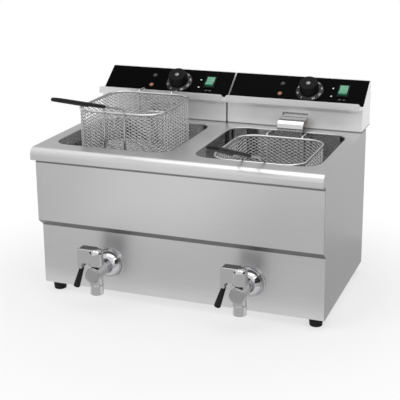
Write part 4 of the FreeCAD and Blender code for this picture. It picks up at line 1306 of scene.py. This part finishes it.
@dataclass
class ControlHead:
    """One lift-out control head with its panel, rail, hood and element."""

    side: Side
    sheet: float = 0.0012
    edge: float = 0.0005
    # Half-height of the painted shadow band round the casing's foot.
    shade: float = 0.0012
    fascia: float = 0.0015
    dial_across: float = 0.026
    dial_up: float = 0.033
    dial_bore: float = 0.009
    dial_radius: float = 0.030
    dial_rim: float = 0.0012
    dial_rise: float = 0.005
    dial_gap: float = 0.001
    dial_edges: Point = (0.0002, 0.0004, 0.0004)
    dial_sweep: float = 300.0
    dial_values: tuple[int, ...] = (0, 60, 80, 100, 120, 140, 160, 180, 200)
    knob_radius: float = 0.021
    knob_top_radius: float = 0.0195
    knob_height: float = 0.020
    knob_skirt: float = 0.0025
    knob_lift: float = 0.0008
    knob_chamfer: float = 0.0025
    knob_edges: Spot = (0.0006, 0.0008)
    knob_well: float = 0.001
    knob_well_edges: Spot = (0.0003, 0.0002)
    knob_cap_radius: float = 0.0046
    knob_cap_gap: float = 0.0005
    knob_cap_edge: float = 0.0002
    knob_cap_crown: float = 0.9
    knob_cap_rise: float = 0.0008
    knob_cap_curve: float = 0.018
    pointer_width: float = 0.0016
    pointer_low: float = 0.004
    pointer_sink: float = 0.0002
    pointer_rise: float = 0.0003
    number_height: float = 0.0052
    print_height: float = 0.00012
    lamp_across: float = -0.037
    lamp_upper: float = 0.0475
    lamp_lower: float = 0.019
    lamp_radius: float = 0.0062
    lamp_lens: float = 0.0048
    lamp_rim: float = 0.0014
    lamp_dome: float = 0.0042
    lamp_edges: Spot = (0.0002, 0.0004)
    switch_across: float = 0.099
    bezel_edge: float = 0.0006
    rocker_edge: float = 0.0009
    dot_across: float = 0.075
    dot_ups: Spot = (0.044, 0.022)
    dot_radius: float = 0.0018
    words_up: float = 0.0135
    words_height: float = 0.0036
    rail_flange: float = 0.010
    rail_corner: float = 0.0045
    hood_flange: float = 0.009
    hood_bend: float = 0.018
    small_bend: float = 0.0015
    gland_nut_radius: float = 0.012
    gland_nut_height: float = 0.006
    gland_cap_radius: float = 0.0095
    gland_cap_height: float = 0.012
    gland_cap_straight: float = 0.007
    gland_neck: float = 0.8
    gland_edges: Point = (0.0004, 0.001, 0.0008)
    gland_nut_edge: float = 0.0004
    gland_bore: float = 0.005
    screw_radius: float = 0.0038
    screw_height: float = 0.0022
    screw_rim: float = 0.4
    screw_curve: float = 0.0055

    def __post_init__(self) -> None:
        """Find the sloped panel's own frame from the dial's joint."""
        turn = joint(self.node("knob_turn"))
        axis = Vector(turn["axis"])
        self.body = self.node("head")
        slope = Matrix.Rotation(math.atan2(-axis.y, axis.z), 4, "X")
        dial = Matrix.Translation(Vector(turn["pos_m"])) @ slope
        self.panel = dial @ Matrix.Translation((-self.dial_across, -self.dial_up, 0.0))

    def on_panel(self, across: float, up: float, out: float) -> Matrix:
        """Place across and up from the middle of the panel's lower edge, and out from the casing."""
        return self.panel @ Matrix.Translation((across, up, out))

    def node(self, name: str) -> str:
        """Name of one of this head's nodes, bodies or pieces."""
        return self.side.own(name)

    def build(self) -> None:
        """Make every piece of the head."""
        self.shell()
        self.rail()
        self.hood()
        self.dial()
        self.knob()
        self.lamps()
        trimmed(self.node("switch_body"), "eased", self.body, KNOB_PLASTIC, self.bezel_edge)
        trimmed(self.node("rocker"), "eased", self.node("switch"), KEY_GREEN, self.rocker_edge, segments=3)
        self.gland()
        self.screws()

    def shell(self) -> None:
        """Ease the casing, the rear cover and the black panel, paint a shadow line round the casing's foot,
        and print the panel.
        """
        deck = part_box("top_plate")[1].z
        # Painted shadow: a dark band at the casing's foot where it meets the top plate.
        casing = replace(HEAD_STEEL, seams=((deck - self.shade, deck + self.shade),))
        outside = {"head_casing": casing, "rear_cover": FRONT_STEEL, "control_panel": PANEL_FILM}
        for name, finish in outside.items():
            trimmed(self.node(name), "eased", self.body, finish, self.edge)
        for name, finish in {"heating_element": SHEATH, "thermostat": CASE_PLASTIC}.items():
            node = self.node(name)
            keep(copied(node), f"{node}_smooth", self.body, finish, [node])
        radius, height = self.dot_radius, self.print_height
        words_place = self.on_panel(self.switch_across, self.words_up, self.fascia + height / 2)
        words = lettering("OFF   ON", self.words_height, height, words_place)
        keep(words, self.node("panel_words"), self.body, GREY_INK)
        dots, disc = Shape(), [(0.0, 0.0), (radius, 0.0), (radius, height), (0.0, height)]
        for up in self.dot_ups:
            dots.turn(disc, self.on_panel(self.dot_across, up, self.fascia), steps=20)
        keep(dots, self.node("panel_print"), self.body, WHITE_INK)

    def rail(self) -> None:
        """Fold the basket rail and round the ends of its lip."""
        node = self.node("basket_rail")
        low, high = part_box(node)
        wall, shelf = high.y - self.sheet, low.z + self.rail_flange
        corners = [(wall, low.z), (wall, shelf), (low.y, shelf), (low.y, high.z)]
        shape = Shape().fold(eased(corners, self.small_bend), low.x, high.x, (0, -1, 0))
        tips = [vert for vert in shape.mesh.verts if abs(vert.co.z - high.z) < MERGE]
        shape.round_off(tips, self.rail_corner, segments=5, affect="VERTICES")
        walled(keep(shape, f"{node}_folded", self.body, RAIL_STEEL, [node]), self.sheet)

    def hood(self) -> None:
        """Fold the cover over the element's legs."""
        node = self.node("element_hood")
        low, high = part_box(node)
        wall, roof = high.y - self.sheet, high.z - self.hood_flange
        corners = [(wall, high.z), (wall, roof), (low.y, roof), (low.y, low.z)]
        profile = eased(corners, [self.small_bend, self.hood_bend], steps=12)
        shape = Shape().fold(profile, low.x, high.x, (0, -1, 0))
        walled(keep(shape, f"{node}_folded", self.body, HOOD_STEEL, [node]), self.sheet, self.edge / 2)

    def dial(self) -> None:
        """Turn the bevelled dial ring and print its numbers."""
        node, bore, outer = self.node("dial_ring"), self.dial_bore, self.dial_radius
        inner, low, high = self.knob_radius + self.dial_gap, self.dial_rim, self.dial_rise
        corners = [(bore, 0.0), (outer, 0.0), (outer, low), (inner, high), (bore, high)]
        place = self.on_panel(self.dial_across, self.dial_up, self.fascia)
        bevelled = Shape().turn(eased(corners, self.dial_edges, steps=3), place, steps=72, closed=True)
        keep(bevelled, f"{node}_turned", self.body, DIAL_STEEL, [node], crease=20.0)
        tilt = Matrix.Rotation(-math.atan2(high - low, outer - inner), 4, "X")
        lift = (low + high) / 2 + self.print_height / 2
        face = Matrix.Translation((0.0, (outer + inner) / 2, lift)) @ tilt
        step = self.dial_sweep / (len(self.dial_values) - 1)
        marks = []
        for index, number in enumerate(self.dial_values):
            angle = math.radians(self.dial_sweep / 2 - step * index)
            around = place @ Matrix.Rotation(angle, 4, "Z") @ face
            marks.append(lettering(str(number), self.number_height, self.print_height, around))
        keep(joined(marks), self.node("dial_numbers"), self.body, WHITE_INK)

    def knob(self) -> None:
        """Turn the knob, its pointer rib and its silver cap."""
        body, node = self.node("knob"), self.node("temperature_knob")
        place = self.on_panel(self.dial_across, self.dial_up, self.fascia + self.dial_rise + self.knob_lift)
        top, skirt, wide, cap = self.knob_height, self.knob_skirt, self.knob_radius, self.knob_cap_radius
        well, seat = cap + self.knob_cap_gap, top - self.knob_well
        corners = [
            (0.0, 0.0), (wide, 0.0), (wide, skirt), (self.knob_top_radius, top), (well, top), (well, seat),
            (0.0, seat),
        ]
        edges = [*self.knob_edges, self.knob_chamfer, *self.knob_well_edges]
        turned = Shape().turn(eased(corners, edges), place, steps=64)
        keep(turned, f"{node}_turned", body, KNOB_PLASTIC, [node])
        crown = (cap * self.knob_cap_crown, top)
        dome = bowed(crown, (0.0, top + self.knob_cap_rise), self.knob_cap_curve, steps=6)
        disc = [(0.0, seat), (cap, seat), (cap, top - self.knob_cap_edge), *dome]
        keep(Shape().turn(disc, place, steps=32), self.node("knob_cap"), body, CAP_SILVER)
        lean = Matrix.Rotation(-math.atan2(wide - self.knob_top_radius, top - skirt), 4, "X")
        half, low, high = self.pointer_width / 2, self.pointer_low, top - self.knob_chamfer
        outline = [(-half, 0.0, low), (half, 0.0, low), (half, 0.0, high), (-half, 0.0, high)]
        face = Matrix.Translation((0.0, -wide + self.pointer_sink, skirt)) @ lean
        rib = Shape().slab(outline, (0, -self.pointer_rise, 0), place @ face)
        keep(rib, self.node("knob_pointer"), body, KNOB_PLASTIC)

    def lamps(self) -> None:
        """Turn the two pilot lamps, each a bezel and a domed lens."""
        rim, radius, lens = self.lamp_rim, self.lamp_radius, self.lamp_lens
        rise = self.lamp_dome - rim
        crown = bowed((lens, rim), (0.0, self.lamp_dome), (lens**2 + rise**2) / (2 * rise), steps=8)
        base = eased([(0.0, 0.0), (radius, 0.0), (radius, rim), (lens, rim)], self.lamp_edges, steps=3)
        for name, up, finish in (
            ("power_lamp", self.lamp_upper, LENS_GREY),
            ("heating_lamp", self.lamp_lower, LENS_ORANGE),
        ):
            place = self.on_panel(self.lamp_across, up, self.fascia)
            node = self.node(name)
            bezel = Shape().turn([*base, (0.0, rim)], place, steps=40)
            keep(bezel, f"{node}_bezel", self.body, KNOB_PLASTIC)
            dome = Shape().turn([(0.0, rim / 2), (lens, rim / 2), *crown], place, steps=40)
            keep(dome, f"{node}_lens", self.body, finish, [node])

    def gland(self) -> None:
        """Build the cable gland: a hexagon nut and a tapered cap."""
        node = self.node("cable_gland")
        low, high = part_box(node)
        middle = (low + high) / 2
        nut = self.gland_nut_height
        total, start = nut + self.gland_cap_height, high.y - self.gland_cap_height - nut
        place = Matrix.Translation((middle.x, start, middle.z)) @ Matrix.Rotation(-QUARTER, 4, "X")
        bore, wide, radius = self.gland_bore, self.gland_cap_radius, self.gland_nut_radius
        neck, straight = wide * self.gland_neck, nut + self.gland_cap_straight
        cap = [(bore, nut), (wide, nut), (wide, straight), (neck, total), (bore, total)]
        shape = Shape().turn(eased(cap, self.gland_edges, steps=4), place, steps=48, closed=True)
        angles = [math.radians(60.0 * step) for step in range(6)]
        hexagon = [(radius * math.cos(angle), radius * math.sin(angle), 0.0) for angle in angles]
        shape.slab(hexagon, (0, 0, nut), place).bevel(self.gland_nut_edge, sharp=SQUARE_EDGE)
        keep(shape, f"{node}_moulded", self.body, KNOB_PLASTIC, [node])

    def screws(self) -> None:
        """Turn the rear cover's four screw heads."""
        node, radius, height = self.node("cover_screws"), self.screw_radius, self.screw_height
        low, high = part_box(node)
        crown = bowed((radius, height * self.screw_rim), (0.0, height), self.screw_curve, steps=6)
        shape = Shape()
        for x in (low.x + radius, high.x - radius):
            for z in (low.z + radius, high.z - radius):
                face = Matrix.Translation((x, high.y - height, z)) @ Matrix.Rotation(-QUARTER, 4, "X")
                shape.turn([(0.0, 0.0), (radius, 0.0), *crown], face, steps=24)
        keep(shape, f"{node}_turned", self.body, ZINC, [node])


@dataclass
class Basket:
    """One wire basket: woven mesh, frame wires and dipped handle."""

    side: Side
    width: float = 0.185
    length: float = 0.200
    depth: float = 0.1105
    corner: float = 0.040
    rim_radius: float = 0.0025
    ring_radius: float = 0.002
    weave_radius: float = 0.0008
    wall_wires: int = 54
    wall_rows: int = 31
    hook_radius: float = 0.002
    hook_pitch: float = 0.076
    hook_rise: float = 0.0035
    hook_span: float = 0.0295
    hook_drop: float = 0.010
    hook_bend: float = 0.0035
    handle_radius: float = 0.002
    handle_pitch: float = 0.044
    handle_rise: float = 0.010
    left_handle_angle: float = 16.0
    right_handle_angle: float = 19.0
    handle_length: float = 0.245
    handle_bend: float = 0.010
    loop_slack: float = 0.0005
    sleeve_pitch: float = 0.016
    sleeve_radius: float = 0.0036
    sleeve_length: float = 0.167
    sleeve_taper: tuple[Spot, ...] = ((0.0, 0.62), (0.001, 0.82), (0.003, 0.96), (0.006, 1.0))

    def __post_init__(self) -> None:
        """Find the middle of the rim in the frame."""
        low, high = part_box(self.side.own("basket_mesh"))
        middle = (low + high) / 2
        self.centre = Vector((middle.x, middle.y, high.z + self.rim_radius))
        self.body = self.side.own("basket")
        self.flat = (self.width / 2 - self.corner, self.length / 2 - self.corner)
        self.loop = self.sleeve_pitch / 2 - self.loop_slack

    def build(self) -> None:
        """Make the mesh, the frame and the handle's sleeve."""
        self.weave()
        self.frame_wires()
        self.sleeve()

    def wall_point(self, along: float, level: float, out: float) -> Vector:
        """Return a point on the upright wall.

        Args:
            along: Distance round the rim, from the middle of the front, counter-clockwise from above.
            level: Height relative to the rim.
            out: Distance outside the wall's middle line.

        Returns:
            The point.
        """
        x, y = self.flat
        bend = self.corner * QUARTER
        runs = [x, bend, 2 * y, bend, 2 * x, bend, 2 * y, bend, x]
        rest = along % sum(runs)
        piece = 0
        while rest > runs[piece]:
            rest -= runs[piece]
            piece += 1
        corners = [(x, -y), (x, y), (-x, y), (-x, -y)]
        reach = self.corner + out
        if piece % 2:
            angle = (piece - 1) / 2 * QUARTER - QUARTER + rest / self.corner
            middle_x, middle_y = corners[(piece - 1) // 2]
            spot = (middle_x + reach * math.cos(angle), middle_y + reach * math.sin(angle))
        else:
            turn = piece / 2 * QUARTER
            forward = Vector((math.cos(turn), math.sin(turn)))
            outward = Vector((math.sin(turn), -math.cos(turn)))
            start = Vector((0.0, -y) if piece == 0 else corners[piece // 2 - 1])
            spot = start + forward * rest + outward * reach
        return self.centre + Vector((*spot, level))

    def weave(self) -> None:
        """Weave slanting wires round the walls and across the floor."""
        wires = Wires(self.weave_radius)
        around = 2 * (self.width + self.length) - 8 * self.corner + math.tau * self.corner
        low, high = -self.depth + 2 * self.ring_radius, -self.rim_radius / 2
        rise, pitch = (high - low) / self.wall_rows, around / self.wall_wires
        for lean in (-1, 1):
            for wire in range(self.wall_wires):
                points = []
                for row in range(self.wall_rows + 1):
                    over = lean if row % 2 else -lean
                    along = wire * pitch + lean * row * pitch / 2
                    points.append(self.wall_point(along, low + row * rise, (over - 1) * self.weave_radius))
                wires.add(points)
        self.weave_floor(wires, pitch, low)
        node = self.side.own("basket_mesh")
        keep(wires.shape(), f"{node}_woven", self.body, BASKET_WIRE, [node], crease=180.0)

    def in_floor(self, x: float, y: float) -> bool:
        """Tell whether a point lies inside the floor's outline."""
        past = (max(0.0, abs(at) - flat) for at, flat in zip((x, y), self.flat))
        return math.hypot(*past) <= self.corner

    def weave_floor(self, wires: Wires, pitch: float, level: float) -> None:
        """Add the floor's slanting wires.

        Args:
            wires: Wires to add to.
            pitch: Distance between wires along X.
            level: Height relative to the rim.
        """
        count = int((self.width + self.length) / pitch)
        half = pitch / 2
        for lean in (-1, 1):
            for wire in range(-count, count + 1):
                points = []
                for cross in range(-2 * count, 2 * count + 1):
                    x, y = (wire + cross) * half, lean * (cross - wire) * half
                    if self.in_floor(x, y):
                        over = lean if cross % 2 else -lean
                        points.append(self.centre + Vector((x, y, level + over * self.weave_radius)))
                if len(points) > 1:
                    wires.add(points)

    def frame_wires(self) -> None:
        """Bend the rim, the lower ring, the hook wires and the handle."""
        node, size = self.side.own("basket_frame"), (self.width, self.length)
        rim, low_ring = Wires(self.rim_radius, fineness=3), Wires(self.ring_radius, fineness=2)
        rim.add(ring(self.centre, size, self.corner, self.centre.z), closed=True)
        level = self.centre.z - self.depth + self.ring_radius
        low_ring.add(ring(self.centre, size, self.corner, level), closed=True)
        hooks = Wires(self.hook_radius, fineness=3)
        back, low = self.length / 2 + self.rim_radius + self.hook_radius, -self.depth - self.hook_radius
        far, rise = back + self.hook_span, self.hook_rise
        for x in (-self.hook_pitch / 2, self.hook_pitch / 2):
            corners = [
                (x, -self.length / 2, low), (x, back, low), (x, back, rise), (x, far, rise),
                (x, far, rise - self.hook_drop),
            ]
            hooks.add([self.centre + point for point in eased(corners, self.hook_bend)])
        handle = Wires(self.handle_radius, fineness=3)
        bends = [self.handle_bend, self.loop, self.loop, self.handle_bend]
        handle.add([self.centre + point for point in eased(self.handle_corners(), bends)])
        shape = joined([wires.shape() for wires in (rim, low_ring, hooks, handle)])
        keep(shape, f"{node}_bent", self.body, BASKET_WIRE, [node], crease=60.0)

    def handle_corners(self) -> list[Vector]:
        """Find the corners of the handle's wire.

        Returns:
            The corners, relative to the rim's middle.
        """
        front = -self.length / 2 - self.rim_radius - self.handle_radius
        angle = self.left_handle_angle if self.side is Side.LEFT else self.right_handle_angle
        slope = math.radians(angle)
        reach, climb = self.handle_length * math.cos(slope), self.handle_length * math.sin(slope)
        wide, near = self.handle_pitch / 2, self.sleeve_pitch / 2
        arm = [
            Vector((wide, front, -self.depth)),
            Vector((wide, front, self.handle_rise)),
            Vector((near, front - reach, self.handle_rise + climb)),
        ]
        return arm + [Vector((-point.x, point.y, point.z)) for point in reversed(arm)]

    def sleeve(self) -> None:
        """Dip the handle's loop in black, thinning towards its ends."""
        corner, far = self.handle_corners()[1:3]
        back = (corner - far).normalized()
        arm = [far + back * (self.sleeve_length - inset) for inset, _ in self.sleeve_taper]
        across = Vector((-1.0, 1.0, 1.0))
        rounded = eased([arm[-1], far, far * across, arm[-1] * across], self.loop, steps=8)
        path = [*arm[:-1], *rounded, *[point * across for point in reversed(arm[:-1])]]
        dip = Wires(self.sleeve_radius, fineness=4)
        dip.add([self.centre + point for point in path], tips=[factor for _, factor in self.sleeve_taper])
        node = self.side.own("handle_grip")
        keep(dip.shape(), f"{node}_dipped", self.body, GRIP_DIP, [node], crease=60.0)


@dataclass(frozen=True)
class Lamp:
    """A soft box."""

    name: str
    spot: Point
    target: Point
    size: Spot
    watts: float
    mirrored: bool = True


@dataclass(frozen=True)
class Card:
    """A grey card that shows only in reflections, level unless it leans, then turned about Z."""

    name: str
    spot: Point
    size: Spot
    tone: float
    lean: float = 0.0
    heading: float = 0.0


@dataclass
class Studio:
    """Floor, light and camera."""

    camera_spot: Point = (0.7172, -1.9227, 0.8454)
    yaw: float = 20.82
    pitch: float = 15.72
    roll: float = -0.46
    focal_pixels: float = 1022.3
    image_pixels: float = 400.0
    rise_pixels: float = 40.0
    sensor: float = 36.0
    floor_size: float = 30.0
    floor_colour: Colour = (0.82, 0.82, 0.82)
    near_white: float = 0.62
    fade: Spot = (0.34, 0.7)
    ambient: float = 0.55
    lamps: tuple[Lamp, ...] = (
        Lamp("key", (-1.7, -2.2, 2.2), (0.0, -0.1, 0.2), (2.4, 2.4), 34.0, mirrored=False),
        Lamp("top", (0.45, -0.2, 2.6), (0.45, 0.0, 0.3), (2.8, 2.4), 25.0),
        Lamp("fill", (2.4, -1.2, 1.3), (0.0, 0.0, 0.2), (1.2, 1.6), 10.0),
    )
    cards: tuple[Card, ...] = (
        Card("near_card", (0.0, -0.42, 0.004), (1.6, 0.36), 0.62),
        Card("front_card", (0.30, -0.85, 0.003), (0.8, 1.0), 0.52),
        Card("left_card", (-0.85, -0.85, 0.003), (0.7, 1.0), 0.55),
        Card("side_card", (0.80, 0.95, 0.003), (0.99, 1.2), 0.70),
        Card("side_near_card", (0.80, 0.02, 0.003), (0.99, 0.66), 0.54),
        Card("rear_card", (-0.6, 1.6, 1.2), (4.0, 1.6), 0.55, 90.0),
        Card("left_flag", (-1.5, -0.9, 0.5), (1.6, 1.0), 0.08, 90.0, 90.0),
        Card("right_flag", (1.4, -0.5, 0.5), (1.2, 1.0), 0.03, 90.0, 90.0),
    )

    def __post_init__(self) -> None:
        """Find the middle of the feet, which camera and lamps are placed from."""
        low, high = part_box("rubber_feet")
        self.middle = Vector(((low.x + high.x) / 2, (low.y + high.y) / 2, 0.0))

    def build(self) -> None:
        """Set the whole studio."""
        bpy.context.scene.view_settings.view_transform = "Standard"
        self.floor()
        self.world()
        for lamp in self.lamps:
            self.light(lamp)
        for card in self.cards:
            self.card(card)
        self.camera()

    def seen(self, nodes: Nodes) -> Signal:
        """Mask of the rays that should meet the pale background: direct, mirrored and through glass."""
        direct, mirrored, through = (
            nodes.add("ShaderNodeLightPath", output=name)
            for name in ("Is Camera Ray", "Is Glossy Ray", "Is Transmission Ray")
        )
        return direct.or_else(mirrored).or_else(through)

    def plane(self, name: str, surface: str, size: float, place: Matrix) -> tuple[bpy.types.Object, Nodes]:
        """Add a square stage plane with an empty material.

        Args:
            name: The plane's name.
            surface: Its material's name.
            size: Length of a side before it is placed.
            place: Where it goes.

        Returns:
            The plane and its material's tree.
        """
        shape = Shape()
        bmesh.ops.create_grid(shape.mesh, x_segments=1, y_segments=1, size=size / 2, matrix=place)
        plane = add_object(shape, name)
        material = bpy.data.materials.new(surface)
        material.use_nodes = True
        material.node_tree.nodes.remove(material.node_tree.nodes["Principled BSDF"])
        plane.data.materials.append(material)
        return plane, Nodes(material.node_tree)

    def glow(self, nodes: Nodes, colour: Colour) -> Signal:
        """Plain light of a colour."""
        return nodes.add("ShaderNodeEmission", {}, {"Color": colour, "Strength": 1.0})

    def cover(self, nodes: Nodes, shader: Signal) -> None:
        """Link a shader to its material's output."""
        nodes.feed(nodes.tree.nodes["Material Output"].inputs["Surface"], shader)

    def floor(self) -> None:
        """Lay a pale floor that fades to white away from the fryer."""
        _, nodes = self.plane("floor", "pale_floor", self.floor_size, Matrix())
        away = nodes.add("ShaderNodeVectorMath", {"operation": "LENGTH"}, {0: nodes.place()}, output="Value")
        white = self.near_white + nodes.smooth(away, *self.fade) * (1 - self.near_white)
        lit = nodes.add("ShaderNodeBsdfDiffuse", {}, {"Color": self.floor_colour})
        plain = self.glow(nodes, (1.0, 1.0, 1.0))
        shaders = {0: self.seen(nodes) * white, 1: lit, 2: plain}
        self.cover(nodes, nodes.add("ShaderNodeMixShader", {}, shaders))

    def world(self) -> None:
        """Surround the fryer with white that lights it only softly."""
        world = bpy.data.worlds.new("studio")
        bpy.context.scene.world = world
        world.use_nodes = True
        nodes = Nodes(world.node_tree)
        background = world.node_tree.nodes["Background"]
        nodes.feed(background.inputs["Color"], (1.0, 1.0, 1.0))
        nodes.feed(background.inputs["Strength"], self.ambient + self.seen(nodes) * (1 - self.ambient))

    def light(self, lamp: Lamp) -> None:
        """Hang one soft box.

        Args:
            lamp: The soft box.
        """
        data = bpy.data.lights.new(lamp.name, "AREA")
        data.shape = "RECTANGLE"
        data.size, data.size_y = lamp.size
        data.energy = lamp.watts
        holder = linked(lamp.name, data)
        holder.visible_glossy = lamp.mirrored
        holder.location = self.middle + Vector(lamp.spot)
        aim = Vector(lamp.target) - Vector(lamp.spot)
        holder.rotation_euler = aim.to_track_quat("-Z", "Y").to_euler()

    def card(self, card: Card) -> None:
        """Set one card where only mirrored rays find it.

        Args:
            card: The card.
        """
        lean = Matrix.Rotation(math.radians(card.lean), 4, "X")
        turned = Matrix.Rotation(math.radians(card.heading), 4, "Z") @ lean
        stretched = turned @ Matrix.Diagonal((*card.size, 1.0, 1.0))
        place = Matrix.Translation(self.middle + Vector(card.spot)) @ stretched
        plane, nodes = self.plane(card.name, card.name, 1.0, place)
        self.cover(nodes, self.glow(nodes, (card.tone,) * 3))
        plane.visible_camera = plane.visible_diffuse = plane.visible_shadow = False

    def camera(self) -> None:
        """Stand the camera where the photograph was taken from."""
        yaw, pitch, roll = (math.radians(angle) for angle in (self.yaw, self.pitch, self.roll))
        ahead = math.cos(pitch)
        forward = Vector((-math.sin(yaw) * ahead, math.cos(yaw) * ahead, -math.sin(pitch)))
        level = Vector((math.cos(yaw), math.sin(yaw), 0.0))
        upright = level.cross(forward)
        right = math.cos(roll) * level + math.sin(roll) * upright
        up = math.cos(roll) * upright - math.sin(roll) * level
        data = bpy.data.cameras.new("photo_camera")
        data.sensor_width = self.sensor
        data.lens = self.focal_pixels / self.image_pixels * self.sensor
        data.shift_y = -self.rise_pixels / self.image_pixels
        holder = linked("photo_camera", data)
        turned = Matrix((right, up, -forward)).transposed().to_4x4()
        holder.matrix_world = Matrix.Translation(self.middle + Vector(self.camera_spot)) @ turned
        bpy.context.scene.camera = holder


def write_size() -> None:
    """Bring the view layer up to date."""
    bpy.context.view_layer.update()


def main() -> None:
    """Build the fryer piece by piece, then the studio."""
    logging.basicConfig(level=logging.INFO, format="%(name)s: %(message)s")
    Casing().build()
    for side in Side:
        Tank(side).build()
    build_taps()
    for side in Side:
        ControlHead(side).build()
        Basket(side).build()
    Studio().build()
    write_size()


if __name__ == "__main__":
    main()
